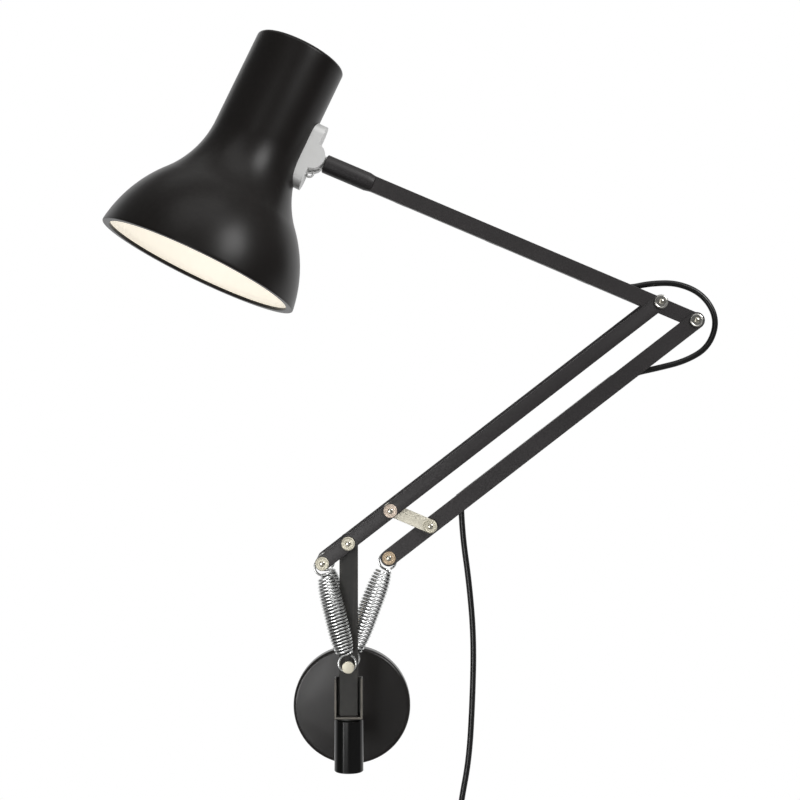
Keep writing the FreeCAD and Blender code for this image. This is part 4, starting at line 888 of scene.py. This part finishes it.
class LAMP_OT_lead(bpy.types.Operator):
    """Makes the lead: loop round the elbow, stretches in both arms and hanging lead with coil and plug"""
    bl_idname = "lamp.lead"
    bl_label = "Lead"
    bl_options = {"REGISTER", "UNDO"}

    def execute(self, context):
        sizes = context.scene.lamp_sizes
        self.elbow_loop(sizes)
        self.hanging_lead(sizes)
        for node, body in (("arm_lead", "upper_arm"), ("channel_lead", "tie_bar")):
            dressed_copy(node, "sheath", body, "black_cable", SOFT_ROUND)
        for node, body in (("arm_clips", "upper_arm"), ("bar_clips", "tie_bar")):
            dressed_copy(node, "plastic", body, "black_plastic", CLIP_ROUND)
        return {"FINISHED"}

    def elbow_loop(self, sizes):
        """Free loop from the upper arm's notch round the elbow into the lower bar's channel."""
        route = [plane_point((x * MM, 0, z * MM), v) for x, z, v in LOOP_ROUTE_MM]
        reach = np.linalg.norm(ELBOW - POST_PIVOT) - CHANNEL_FROM_TOP_MM * MM
        route.append(plane_point(TENSION_FOOT + BAR_WAY * reach, LEAD_V))
        path = nurbs_points("elbow_loop_path", route, LOOP_SAMPLES)
        piece = tube("elbow_loop_lead", path, sizes.lead / 2, TOWARDS, sides=20)
        dress(piece, "sheath", None, "black_cable", "elbow_loop")
        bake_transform(piece)

    def hanging_lead(self, sizes):
        """Lead that hangs from the lower bar, ends in its put-away coil and carries the plug."""
        route = [plane_point(LEAD_EXIT, LEAD_V)]
        route += [plane_point((x * MM, 0, z * MM), LEAD_V) for x, z in DROP_ROUTE_MM]
        route = np.vstack([route, coil_route(sizes)])
        path = nurbs_points("hanging_lead_path", route, LEAD_SAMPLES)
        piece = tube("hanging_lead", path, sizes.lead / 2, TOWARDS, sides=16)
        dress(piece, "sheath", "hanging_lead", "black_cable", "drop_lead", "coil_lead")
        plug = make_plug()
        tie = dressed_copy("coil_tie", "plastic", "hanging_lead", "black_plastic", SOFT_ROUND)
        relief = make_relief()
        pins = make_plug_pins()


# ---- plug ----
PLUG_ROWS, RELIEF_ROWS = 60, 90
PLUG_AT = (0, 0.06, 0.24, 0.5, 0.8, 0.97, 1.0)            # shares of its length from the lead's end
PLUG_WIDTH = (0.40, 0.46, 0.76, 0.90, 0.97, 1.0, 0.97)    # shares of its full width there
PLUG_THICKNESS = (0.60, 0.66, 0.92, 0.97, 1.0, 1.0, 0.96)
PLUG_POWER = 3.4
PLUG_GRIP = (0.3, 0.36, 5)            # where the grip waves start, how far they run and their number
PLUG_GRIP_DEPTH = 0.02
PLUG_END_RUN, PLUG_END_DEPTH = 0.03, 0.10
RELIEF_RADII = (0.00225, 0.0034)      # at the lead's end and at the plug
RELIEF_GROOVES = (0.12, 0.78, 6)
RELIEF_GROOVE_DEPTH = 0.00035
PLUG_PIN_ROUND = 0.7                  # of the pins' radius
PLUG_PIN_HUB = 0.0001


def superellipse(half_w, half_t, power, around=72):
    """Closed outline between an ellipse and a rectangle: signed powers of cosine and sine."""
    t = np.linspace(0, 2 * math.pi, around, endpoint=False)
    x = half_w * np.sign(np.cos(t)) * np.abs(np.cos(t)) ** (2 / power)
    y = half_t * np.sign(np.sin(t)) * np.abs(np.sin(t)) ** (2 / power)
    return np.stack([x, y, np.zeros_like(x)], axis=-1)


def waves(h, start, run, count):
    """Even waves between 0 and 1 over one stretch of the shares h, and 0 outside it."""
    return 0.5 - 0.5 * np.cos(2 * math.pi * np.clip((h - start) / run, 0, 1) * count)


def averaged(values, reach=4):
    """Running mean of values over a reach to both sides, as if the end values went on."""
    width = 2 * reach + 1
    return np.convolve(np.pad(values, reach, mode="edge"), np.ones(width) / width, mode="valid")


def make_plug():
    """Flat two-pin plug: superellipses whose width and thickness follow a shouldered profile, with grip
    waves on its sides."""
    low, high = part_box("plug_body")
    middle = node_middle("plug_body")
    h = np.linspace(0, 1, PLUG_ROWS)
    from_end = np.minimum(h, 1 - h)
    ends = 1 - PLUG_END_DEPTH * np.clip(1 - from_end / PLUG_END_RUN, 0, 1) ** 2
    grip = 1 - PLUG_GRIP_DEPTH * waves(h, *PLUG_GRIP)
    half_w = (high[0] - low[0]) / 2 * averaged(np.interp(h, PLUG_AT, PLUG_WIDTH)) * grip * ends
    half_t = (high[1] - low[1]) / 2 * averaged(np.interp(h, PLUG_AT, PLUG_THICKNESS)) * ends
    outlines = np.array([superellipse(w, t, PLUG_POWER) for w, t in zip(half_w, half_t)])
    z = high[2] - (high[2] - low[2]) * h
    centres = np.stack([np.full_like(z, middle[0]), np.full_like(z, middle[1]), z], axis=-1)
    piece = grid_mesh("plug", outlines + centres[:, None])
    return dress(piece, "plastic", "hanging_lead", "black_plastic", "plug_body")


def make_relief():
    """Tapered strain relief with segments: a cone whose radius dips in six even grooves."""
    low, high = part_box("plug_relief")
    x, y = node_middle("plug_relief")[:2]
    h = np.linspace(0, 1, RELIEF_ROWS)
    r = np.interp(h, (0, 1), RELIEF_RADII) - RELIEF_GROOVE_DEPTH * waves(h, *RELIEF_GROOVES) ** 4
    profile = np.stack([r, h * (high[2] - low[2])], axis=-1)
    piece = lathe("plug_relief_grooved", profile, (x, y, high[2]), (0, 0, -1), around=40)
    return dress(piece, "sheath", "hanging_lead", "black_cable", "plug_relief")


def make_plug_pins():
    """Two round pins with a rounded tip."""
    low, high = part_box("plug_pins")
    r = (high[1] - low[1]) / 2
    y = (low[1] + high[1]) / 2
    run = high[2] - low[2]
    profile = rounded([(r, 0), (r, run), (PLUG_PIN_HUB, run)], r * PLUG_PIN_ROUND, steps=8)
    pins = [lathe("plug_pin", profile, (x, y, high[2]), (0, 0, -1), around=32)
            for x in (low[0] + r, high[0] - r)]
    return dress(joined("plug_pins_bright", pins), "brass", "hanging_lead", "cap_brass", "plug_pins")


# ---- shade ----
FLARE_ANGLE = math.radians(40.3)  # the side's greatest lean against the axis, between the two sweeps
RIM_ANGLE = math.radians(7.2)  # and its lean at the rim
TOP_ROUND = 0.0025
RIM_LIP = 0.0032
BEAD_FOOT = 3.0                # thicknesses of the wall between the rim and where the inside starts
KNUCKLE_H = 0.0564             # tilt pin below the closed top, along the shade's axis
KNUCKLE_OUT = 0.0336           # and beside that axis
SHADE_LEAN = math.radians(24.9)   # the shade's axis against the vertical, before it is rolled to the viewer
SHADE_ROLL = math.radians(-6.5)
CROWN_STEPS, EDGE_STEPS, NECK_STEPS, FLARE_STEPS, BELL_STEPS = 10, 14, 12, 40, 56


def shade_place():
    """Matrix from the shade's own frame, closed top at the origin and -Z towards the mouth, to the lamp's."""
    return (Matrix.Translation(Vector(KNUCKLE)) @ Matrix.Rotation(SHADE_ROLL, 4, Vector(ARM_WAY))
            @ Matrix.Rotation(SHADE_LEAN, 4, "Y") @ Matrix.Translation((-KNUCKLE_OUT, 0, KNUCKLE_H)))


def shade_axis():
    """Closed top and the unit vector towards the mouth, in the lamp's frame."""
    place = shade_place()
    return np.array(place.translation), np.array(-(place.to_3x3() @ Vector((0, 0, 1))))


def shade_profile(sizes, offset):
    """Outline from the closed top to the rim, moved inwards by an offset: rounded edge, straight neck,
    concave sweep and convex sweep, as (radius, height) arcs that share their tangents."""
    neck = sizes.neck_radius - offset
    flare, bell = sizes.flare_radius + offset, sizes.bell_radius - offset
    rounding = TOP_ROUND - offset
    t = np.linspace(0, math.pi / 2, EDGE_STEPS)
    edge = np.stack([neck - rounding + rounding * np.sin(t), offset + rounding * (1 - np.cos(t))], axis=-1)
    neck_h = np.linspace(offset + rounding, sizes.neck_length, NECK_STEPS)[1:-1]
    straight = np.stack([np.full_like(neck_h, neck), neck_h], axis=-1)
    t = np.linspace(0, FLARE_ANGLE, FLARE_STEPS)
    concave = np.stack([neck + flare * (1 - np.cos(t)), sizes.neck_length + flare * np.sin(t)], axis=-1)
    knee = concave[-1]
    t = np.linspace(FLARE_ANGLE, RIM_ANGLE, BELL_STEPS)[1:]
    convex = np.stack([knee[0] + bell * (np.cos(t) - math.cos(FLARE_ANGLE)),
                       knee[1] + bell * (math.sin(FLARE_ANGLE) - np.sin(t))], axis=-1)
    return np.vstack([edge, straight, concave, convex])


class LAMP_OT_shade(bpy.types.Operator):
    """Makes the spun metal shade, painted black outside and white inside"""
    bl_idname = "lamp.shade"
    bl_label = "Shade"
    bl_options = {"REGISTER", "UNDO"}

    def execute(self, context):
        sizes = context.scene.lamp_sizes
        top, down = shade_axis()
        outside = shade_profile(sizes, 0.0)
        rim_r, rim_h = outside[-1]
        crown_r = np.linspace(HUB, outside[0][0], CROWN_STEPS)[:-1]
        crown = np.stack([crown_r, np.zeros_like(crown_r)], axis=-1)
        bead = self.bead(rim_r, rim_h, sizes.wall)
        inside = shade_profile(sizes, sizes.wall)[::-1]
        inside = inside[inside[:, 1] < rim_h - BEAD_FOOT * sizes.wall]
        inner_crown = np.stack([crown_r[::-1], np.full_like(crown_r, sizes.wall)], axis=-1)
        profile = np.vstack([crown, outside, bead, inside, inner_crown])
        inner_rows = len(crown) + len(outside) + len(bead) - 2
        piece = lathe("shade", profile, top, down, around=192, inner_rows=inner_rows)
        # the inside glows with painted light
        dress(piece, ("paint", "inside"), "shade", "black_paint", "shade_shell")
        return {"FINISHED"}

    def bead(self, rim_r, rim_h, wall):
        """Rim turned in as a flat lip with rounded edges, laid out in thicknesses of the wall."""
        lip_r = rim_r - RIM_LIP - wall
        upper = rim_h - 0.7 * wall
        corners = [(rim_r, rim_h - 0.3 * wall), (rim_r, rim_h + wall), (lip_r, rim_h + wall), (lip_r, upper),
                   (rim_r - wall, upper), (rim_r - wall * 1.2, upper - 2 * wall)]
        return rounded(corners, [0, 0.45 * wall, 0.45 * wall, 0.45 * wall, 0.3 * wall, 0], steps=5)[1:]


# ---- inside the shade, as (radius, distance from the closed top) ----
GLOBE_RADIUS, GLOBE_H = 0.0225, 0.068
BULB_NECK_RADIUS, BULB_NECK_H = 0.009, 0.0362
BULB_SWEEP = 0.012             # radius of the sweep between the neck and the globe
CAP_FOOT = (0.002, 0.0132)
CAP_SKIRT = [(0.0088, 0.0354), (0.009, 0.0362)]
CAP_RADIUS, CAP_TOP = 0.0066, 0.0352
THREAD_DEPTH, THREAD_PITCH = 0.00045, 0.0028
HOLDER_CORNERS = [(0.001, 0.0072), (0.013, 0.0072), (0.013, 0.0272), (0.0145, 0.0272), (0.0145, 0.0332),
                  (0.0077, 0.0332), (0.0077, 0.0112), (0.001, 0.0112)]
HOLDER_ROUND = 0.0006


class LAMP_OT_lamp_holder(bpy.types.Operator):
    """Makes what is inside the shade: opal lamp, screw cap, lamp holder and carrier disc"""
    bl_idname = "lamp.lamp_holder"
    bl_label = "Lamp Holder and Bulb"
    bl_options = {"REGISTER", "UNDO"}

    def execute(self, context):
        top, down = shade_axis()
        bulb = lathe("opal_bulb", self.bulb_profile(), top, down, around=96)
        dress(bulb, "opal", "shade", "opal_glass", "bulb")
        cap = lathe("screw_cap", self.cap_profile(), top, down, around=48)
        dress(cap, "brass", "shade", "cap_brass", "bulb_cap")
        profile = rounded(HOLDER_CORNERS, HOLDER_ROUND, steps=4)
        holder = lathe("holder_moulding", profile, top, down, around=96)
        dress(holder, "plastic", "shade", "black_plastic", "lamp_holder")
        dressed_copy("holder_ring", "white", "shade", "white_paint", bevel=0.0)
        return {"FINISHED"}

    def bulb_profile(self):
        """Globe and neck joined by a sweep: the sweep's circle touches the neck's side and the globe."""
        run = BULB_NECK_RADIUS + BULB_SWEEP
        rise = math.sqrt((GLOBE_RADIUS + BULB_SWEEP) ** 2 - run ** 2)
        lean = math.atan2(rise, run)
        t = np.linspace(0, lean, 20)
        swept = np.stack([run - BULB_SWEEP * np.cos(t), GLOBE_H - rise + BULB_SWEEP * np.sin(t)], axis=-1)
        t = np.linspace(-lean, math.pi / 2, 60)[1:-1]
        globe = np.stack([GLOBE_RADIUS * np.cos(t), GLOBE_H + GLOBE_RADIUS * np.sin(t)], axis=-1)
        return np.vstack([[(BULB_NECK_RADIUS, BULB_NECK_H)], swept, globe])

    def cap_profile(self):
        """Screw cap with its rounded thread: the radius waves along the height."""
        h = np.linspace(CAP_FOOT[1], CAP_TOP, 120)
        wave = THREAD_DEPTH * np.cos(2 * math.pi * (h - h[0]) / THREAD_PITCH)
        return np.vstack([[CAP_FOOT], np.stack([CAP_RADIUS + wave, h], axis=-1), CAP_SKIRT])


# ---- knuckle ----
CAST_ROUND = 0.0006


class LAMP_OT_knuckle(bpy.types.Operator):
    """Finishes the cast bracket on the shade, its pin and screws, the yoke and the round arm tip"""
    bl_idname = "lamp.knuckle"
    bl_label = "Knuckle"
    bl_options = {"REGISTER", "UNDO"}

    def execute(self, context):
        dressed_copy("shade_bracket", "silver", "shade", "cast_silver", CAST_ROUND)
        dressed_copy("yoke", "silver", "yoke", "cast_silver", SOFT_ROUND)
        dressed_copy("tilt_pin", "steel", "shade", "bare_steel")
        dressed_copy("bracket_screws", "steel", "shade", "bare_steel")
        dressed_copy("arm_tip", "arm_paint", "upper_arm", "black_paint", SOFT_ROUND)
        return {"FINISHED"}


# ---- arms ----
FRONT_BAR_V = (14.3, 16.5)
REAR_BAR_V = (-22.3, -20.1)
LINK_V = (0.0, 1.8)
TENSION_FACE_V = -0.4


class LAMP_OT_arms(bpy.types.Operator):
    """Makes the twin lower bars and the link, and finishes the channel bars, spacers and elbow bush"""
    bl_idname = "lamp.arms"
    bl_label = "Arms"
    bl_options = {"REGISTER", "UNDO"}

    def execute(self, context):
        sizes = context.scene.lamp_sizes
        for node, depths in (("front_bar", FRONT_BAR_V), ("rear_bar", REAR_BAR_V)):
            piece = flat_bar(node + "_strip", SPRING_PIN, ELBOW, sizes.bar_width, *depths, sizes.bar_round)
            dress(piece, "arm_paint", "lower_arm", "black_paint", node)
        piece = flat_bar("link_strip", LINK_PIN, TENSION_LINK, sizes.link_width, *LINK_V, sizes.bar_round)
        dress(piece, "link_plate", "link", "nickel", "link_plate")
        for node, body in (("tension_bar", "tie_bar"), ("upper_channel", "upper_arm")):
            dressed_copy(node, "arm_paint", body, "black_paint", sizes.bar_round)
        dressed_copy("bar_spacers", "steel", "lower_arm", "bare_steel")
        dressed_copy("elbow_bush", "plastic", "upper_arm", "black_plastic")
        return {"FINISHED"}


# ---- rivets ----
PIN_RADIUS, POST_PIN_RADIUS = 0.002, 0.0022
PROUD_MM = 0.1                 # some heads stand this much further out than the bars' faces
# Flanges: the depths of their two faces, and their radius.
FRONT_SPRING_FLANGE = (11.0, 12.0, 0.0026)
REAR_SPRING_FLANGE = (-17.8, -16.8, 0.0026)
FOOT_FLANGE = (-7.4, -6.4, 0.0026)
STUD_FLANGE = (-3.5, -2.8, 0.0032)
TOP_FLANGE = (-5.4, -4.2, 0.0034)
BASE_FLANGES = ((-22.4, -21.2, 0.0036), (14.6, 15.8, 0.0036))
BUTTON_SHARE = 0.42            # of the head's radius
BUTTON_HEIGHT = 0.00062
BUTTON_HUB = 0.00004
BUTTON_ROWS, DISH_ROWS = 26, 40
HEAD_HEIGHT = 0.00088
HEAD_CORNER = 0.00022          # rounding of the head's edge
RIDGE_HEIGHT = 0.00022
RIDGE_AT, RIDGE_WIDTH = 0.86, 0.09    # of the head's radius
PLAIN_HEAD = ("button", "disc")   # finishes of most heads


def head_profile(radius):
    """Rivet head: a flat disc with a raised, rounded rim, a shallow dished ring and a round button in the
    middle.  Heights come from a bell curve for the rim and a spherical cap for the button."""
    button_r, flat_r = BUTTON_SHARE * radius, radius - HEAD_CORNER
    r = np.concatenate([np.linspace(BUTTON_HUB, button_r, BUTTON_ROWS),
                        np.linspace(button_r, flat_r, DISH_ROWS)[1:]])
    button = BUTTON_HEIGHT * np.sqrt(np.clip(1 - (r / button_r) ** 2, 0, 1))
    ridge = RIDGE_HEIGHT * np.exp(-((r / radius - RIDGE_AT) / RIDGE_WIDTH) ** 2)
    face = np.stack([r, HEAD_HEIGHT + button + ridge], axis=-1)
    t = np.linspace(0, math.pi / 2, 8)[1:]
    corner_h = HEAD_HEIGHT - HEAD_CORNER * (1 - np.cos(t))
    corner = np.stack([flat_r + HEAD_CORNER * np.sin(t), corner_h], axis=-1)
    return np.vstack([face, corner, [(radius, 0.0), (HUB, 0.0)]])


def rivet(name, place, low, high, heads=("front",), pin=PIN_RADIUS, flanges=()):
    """Pin between two depths with a turned head at each named end, and flanges as (depth, depth, radius)."""
    profile = head_profile(bpy.context.scene.lamp_sizes.head_radius)
    run = (high - low) * MM
    parts = [lathe(name + "_pin", [(pin, 0), (pin, run)], plane_point(place, low), TOWARDS, around=40)]
    for end, v, way in (("front", high, TOWARDS), ("rear", low, -TOWARDS)):
        if end in heads:
            foot = plane_point(place, v)
            parts.append(lathe(f"{name}_{end}", profile, foot, way, around=72, inner_rows=BUTTON_ROWS - 1))
    for v0, v1, r in flanges:
        thick = (v1 - v0) * MM
        edge = rounded([(HUB, 0), (r, 0), (r, thick), (HUB, thick)], FINE_ROUND, steps=3)
        parts.append(lathe(name + "_flange", edge, plane_point(place, v0), TOWARDS, around=48))
    return joined(name, parts)


class LAMP_OT_rivets(bpy.types.Operator):
    """Makes the pins and rivets of the linkage with their turned heads"""
    bl_idname = "lamp.rivets"
    bl_label = "Rivets"
    bl_options = {"REGISTER", "UNDO"}

    def execute(self, context):
        self.long_rivets()
        self.spring_rivets()
        self.short_rivets()
        self.base_pin()
        return {"FINISHED"}

    def long_rivets(self):
        """Rivets through both lower bars, at the link, the elbow and the post."""
        rear, front = REAR_BAR_V[0], FRONT_BAR_V[1]
        both = ("front", "rear")
        link = rivet("link_rivet", LINK_PIN, rear, front, both)
        dress(link, ("button", "rosy"), "lower_arm", "nickel", "link_pin")
        elbow = rivet("elbow_rivet_long", ELBOW, rear, front, both)
        dress(elbow, ("button", "bright"), "lower_arm", "nickel", "elbow_pin")
        post = rivet("post_rivet", POST_PIVOT, rear - PROUD_MM, front + PROUD_MM, both, POST_PIN_RADIUS)
        dress(post, PLAIN_HEAD, "post", "nickel", "post_pivot")

    def spring_rivets(self):
        """Pins of the front and rear spring's top rings, each in its bar with a flange at its free end."""
        near = rivet("spring_rivet_front", SPRING_PIN, FRONT_SPRING_FLANGE[0], FRONT_BAR_V[1],
                     flanges=[FRONT_SPRING_FLANGE])
        far = rivet("spring_rivet_rear", SPRING_PIN, REAR_BAR_V[0], REAR_SPRING_FLANGE[1], ("rear",),
                    flanges=[REAR_SPRING_FLANGE])
        dress(joined("spring_rivets", [near, far]), PLAIN_HEAD, "lower_arm", "nickel", "spring_pins")

    def short_rivets(self):
        """Rivet at the tension bar's foot, stud that joins it to the link, and rivet at its top."""
        foot = rivet("tension_foot_rivet", TENSION_FOOT, FOOT_FLANGE[1], TENSION_FACE_V,
                     flanges=[FOOT_FLANGE])
        dress(foot, ("button", "tan"), "tie_bar", "nickel", "middle_spring_pin")
        stud = rivet("link_stud_turned", TENSION_LINK, STUD_FLANGE[1], LINK_V[1], flanges=[STUD_FLANGE])
        dress(stud, PLAIN_HEAD, "link", "nickel", "link_stud")
        top = rivet("tension_top_rivet", TENSION_TOP, TOP_FLANGE[1], TENSION_FACE_V + PROUD_MM,
                    flanges=[TOP_FLANGE])
        dress(top, ("button", "bright"), "upper_arm", "nickel", "elbow_rivet")

    def base_pin(self):
        """Pin at the post's foot with a plain flat head at each end."""
        rear, front = BASE_FLANGES
        pin = rivet("base_pin_turned", BASE_PIN, rear[1], front[0], heads=(), flanges=BASE_FLANGES)
        dress(pin, "disc", "post", "nickel", "base_pin")


# ---- springs ----
FRONT_SPRING_V = 13.2
MIDDLE_SPRING_V = -5.2
REAR_SPRING_V = -19.0
SPRING_TAPER = 0.3             # share of the coils' radius that is gone at their ends
SPRING_TAPER_POWER = 4
HOOK_REACH = 0.00285           # a ring's far side beyond its pin's axis
HOOK_GAP = 0.0013              # between a ring and the first coil
HOOK_TURN = (-230, 90)         # degrees round the lower ring; the upper one is its mirror image
COIL_STEPS, RING_STEPS, BRIDGE_STEPS = 40, 60, 14
RINGS_RUN = 0.0075             # stretch at each end of a spring that keeps its bright wire all round, with no painted shade
TURNED_IN = -0.1               # faces whose outward part is less than this look at the spring's axis


def spring_path(top_pin, v, sizes):
    """Centre line of one spring and the reference for its tube: ring round the base pin, bridge, barrel of
    coils, bridge, ring round the top pin.  The coils' radius falls towards both ends with the fourth power
    of the way from the middle."""
    origin, end = plane_point(BASE_PIN, v), plane_point(top_pin, v)
    run = np.linalg.norm(end - origin)
    w = (end - origin) / run
    u = np.cross(TOWARDS, w)
    turns = sizes.spring_turns

    def place(s, a, b):
        """Points at distances s along the spring, a beside it and b in front of it."""
        s, a, b = np.broadcast_arrays(s, a, b)
        return origin + s[..., None] * w + a[..., None] * u + b[..., None] * TOWARDS

    hook = sizes.hook_radius
    low, high = hook - HOOK_REACH, run + HOOK_REACH - hook
    start, stop = low + hook + HOOK_GAP, high - hook - HOOK_GAP
    t = np.radians(np.linspace(*HOOK_TURN, RING_STEPS))
    low_ring = place(low + hook * np.sin(t), hook * np.cos(t), 0.0)
    turn = np.linspace(0, turns, turns * COIL_STEPS + 1)
    r = sizes.spring_radius * (1 - SPRING_TAPER * np.abs(2 * turn / turns - 1) ** SPRING_TAPER_POWER)
    a = 2 * math.pi * turn + math.pi
    coils = place(start + (stop - start) * turn / turns, r * np.cos(a), r * np.sin(a))
    t = -t[::-1]
    high_ring = place(high + hook * np.sin(t), hook * np.cos(t), 0.0)
    first = hermite(low_ring[-1], -u, coils[0], unit(coils[1] - coils[0]), BRIDGE_STEPS)[1:-1]
    last = hermite(coils[-1], unit(coils[-1] - coils[-2]), high_ring[0], u, BRIDGE_STEPS)[1:-1]
    path = np.vstack([low_ring, first, coils, last, high_ring])
    ring, bridge = np.zeros(RING_STEPS), np.linspace(0, 1, BRIDGE_STEPS - 2)
    blend = np.concatenate([ring, bridge, np.ones(len(coils)), bridge[::-1], ring])[:, None]
    return path, (1 - blend) * TOWARDS + blend * w


def paint_shade_inside_coils(mesh, foot, top):
    """Painted shade: a dark second material on the coil faces that look at the spring's axis, but not the end
    rings.
    """
    run = np.linalg.norm(top - foot)
    away = face_values(mesh, "center") - foot
    along = away @ (top - foot) / run
    outward = unit(away - along[:, None] * (top - foot) / run)
    inner = (face_values(mesh, "normal") * outward).sum(axis=1) < TURNED_IN
    second_material(mesh, inner & (along > RINGS_RUN) & (along < run - RINGS_RUN))


class LAMP_OT_springs(bpy.types.Operator):
    """Winds the three balance springs with their hook rings"""
    bl_idname = "lamp.springs"
    bl_label = "Springs"
    bl_options = {"REGISTER", "UNDO"}

    def execute(self, context):
        sizes = context.scene.lamp_sizes
        for node, top_pin, v in (("front_spring", SPRING_PIN, FRONT_SPRING_V),
                                 ("middle_spring", TENSION_FOOT, MIDDLE_SPRING_V),
                                 ("rear_spring", SPRING_PIN, REAR_SPRING_V)):
            path, reference = spring_path(top_pin, v, sizes)
            piece = tube(node + "_wound", path, sizes.wire / 2, reference, sides=10)
            foot, top = plane_point(BASE_PIN, v), plane_point(top_pin, v)
            paint_shade_inside_coils(piece.data, foot, top)
            # the coils' inner faces take the dark painted shade
            dress(piece, ("zinc", "wire_inside"), None, "spring_wire", node)
            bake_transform(piece)
        return {"FINISHED"}


# ---- post and wall mount ----
CUT_EDGE_DEPTH = 0.0003        # behind the foremost face: what counts as the sheet's front edges
FACING_FRONT = -0.9            # Y of the normal of a face that looks forward


def paint_highlight_on_front_edges(mesh):
    """Second material, a paler painted highlight, on the faces that look forward within a small depth of the
    mesh's
    front: the sheet's cut edges."""
    y = face_values(mesh, "center")[:, 1]
    second_material(mesh, (y < y.min() + CUT_EDGE_DEPTH) & (face_values(mesh, "normal")[:, 1] < FACING_FRONT))


class LAMP_OT_post(bpy.types.Operator):
    """Finishes the swivelling post: its spigot, fork, channel and spacers"""
    bl_idname = "lamp.post"
    bl_label = "Post"
    bl_options = {"REGISTER", "UNDO"}

    def execute(self, context):
        edge = context.scene.lamp_sizes.bar_round
        piece = refined_copy("swivel_bracket", edge)
        paint_highlight_on_front_edges(piece.data)
        # the forward-facing cut edges take a paler painted highlight
        dress(piece, ("post_paint", "cut_edge"), "post", "black_paint", "swivel_bracket")
        dressed_copy("post_channel", "post_paint", "post", "black_paint", edge)
        for node in ("bracket_rivets", "spigot"):
            dressed_copy(node, "post_paint", "post", "black_paint")
        for node in ("post_spacers", "base_pin_spacers"):
            dressed_copy(node, "steel", "post", "bare_steel")
        return {"FINISHED"}


class LAMP_OT_wall_mount(bpy.types.Operator):
    """Finishes the wall plate with its cover, the socket arm with its bush and cap, and the screws"""
    bl_idname = "lamp.wall_mount"
    bl_label = "Wall Mount"
    bl_options = {"REGISTER", "UNDO"}

    def execute(self, context):
        dressed_copy("wall_plate_cover", "plate_paint", "wall_mount", "black_paint")
        dressed_copy("wall_plate_back", "steel", "wall_mount", "bare_steel")
        dressed_copy("socket_arm", "gloss", "wall_mount", "black_paint", SOFT_ROUND)
        for node in ("socket_bush", "socket_cap"):
            dressed_copy(node, "plastic", "wall_mount", "black_plastic")
        dressed_copy("stem_screws", "steel", "wall_mount", "bare_steel")
        dressed_copy("cover_screws", "plate_paint", "wall_mount", "black_paint")
        return {"FINISHED"}


# ---- panel and registration ----
OPERATORS = (LAMP_OT_stage, LAMP_OT_lead, LAMP_OT_shade, LAMP_OT_lamp_holder, LAMP_OT_knuckle, LAMP_OT_arms,
             LAMP_OT_rivets, LAMP_OT_springs, LAMP_OT_post, LAMP_OT_wall_mount)


class LAMP_PT_panel(bpy.types.Panel):
    """Sidebar panel with the lamp's sizes, colours and building steps"""
    bl_idname = "LAMP_PT_panel"
    bl_label = "Wall Lamp"
    bl_space_type = "VIEW_3D"
    bl_region_type = "UI"
    bl_category = "Lamp"

    def draw(self, context):
        for title, group in (("Sizes", context.scene.lamp_sizes), ("Colours", context.scene.lamp_colours)):
            box = self.layout.box()
            box.label(text=title)
            for name in group.bl_rna.properties.keys():
                if name not in ("rna_type", "name"):
                    box.prop(group, name)
        for operator in OPERATORS:
            self.layout.operator(operator.bl_idname)


CLASSES = (LampSizes, LampColours) + OPERATORS + (LAMP_PT_panel,)


def register():
    """Registers the classes and hangs the settings on the scene."""
    for cls in CLASSES:
        bpy.utils.register_class(cls)
    bpy.types.Scene.lamp_sizes = PointerProperty(type=LampSizes)
    bpy.types.Scene.lamp_colours = PointerProperty(type=LampColours)


def unregister():
    """Takes the settings off the scene and the classes out again."""
    del bpy.types.Scene.lamp_colours
    del bpy.types.Scene.lamp_sizes
    for cls in reversed(CLASSES):
        bpy.utils.unregister_class(cls)


def main():
    """Builds the whole lamp, one step after another."""
    register()
    bpy.ops.lamp.stage()
    bpy.ops.lamp.lead()
    bpy.ops.lamp.shade()
    bpy.ops.lamp.lamp_holder()
    bpy.ops.lamp.knuckle()
    bpy.ops.lamp.arms()
    bpy.ops.lamp.rivets()
    bpy.ops.lamp.springs()
    bpy.ops.lamp.post()
    bpy.ops.lamp.wall_mount()


if __name__ == "__main__":
    main()
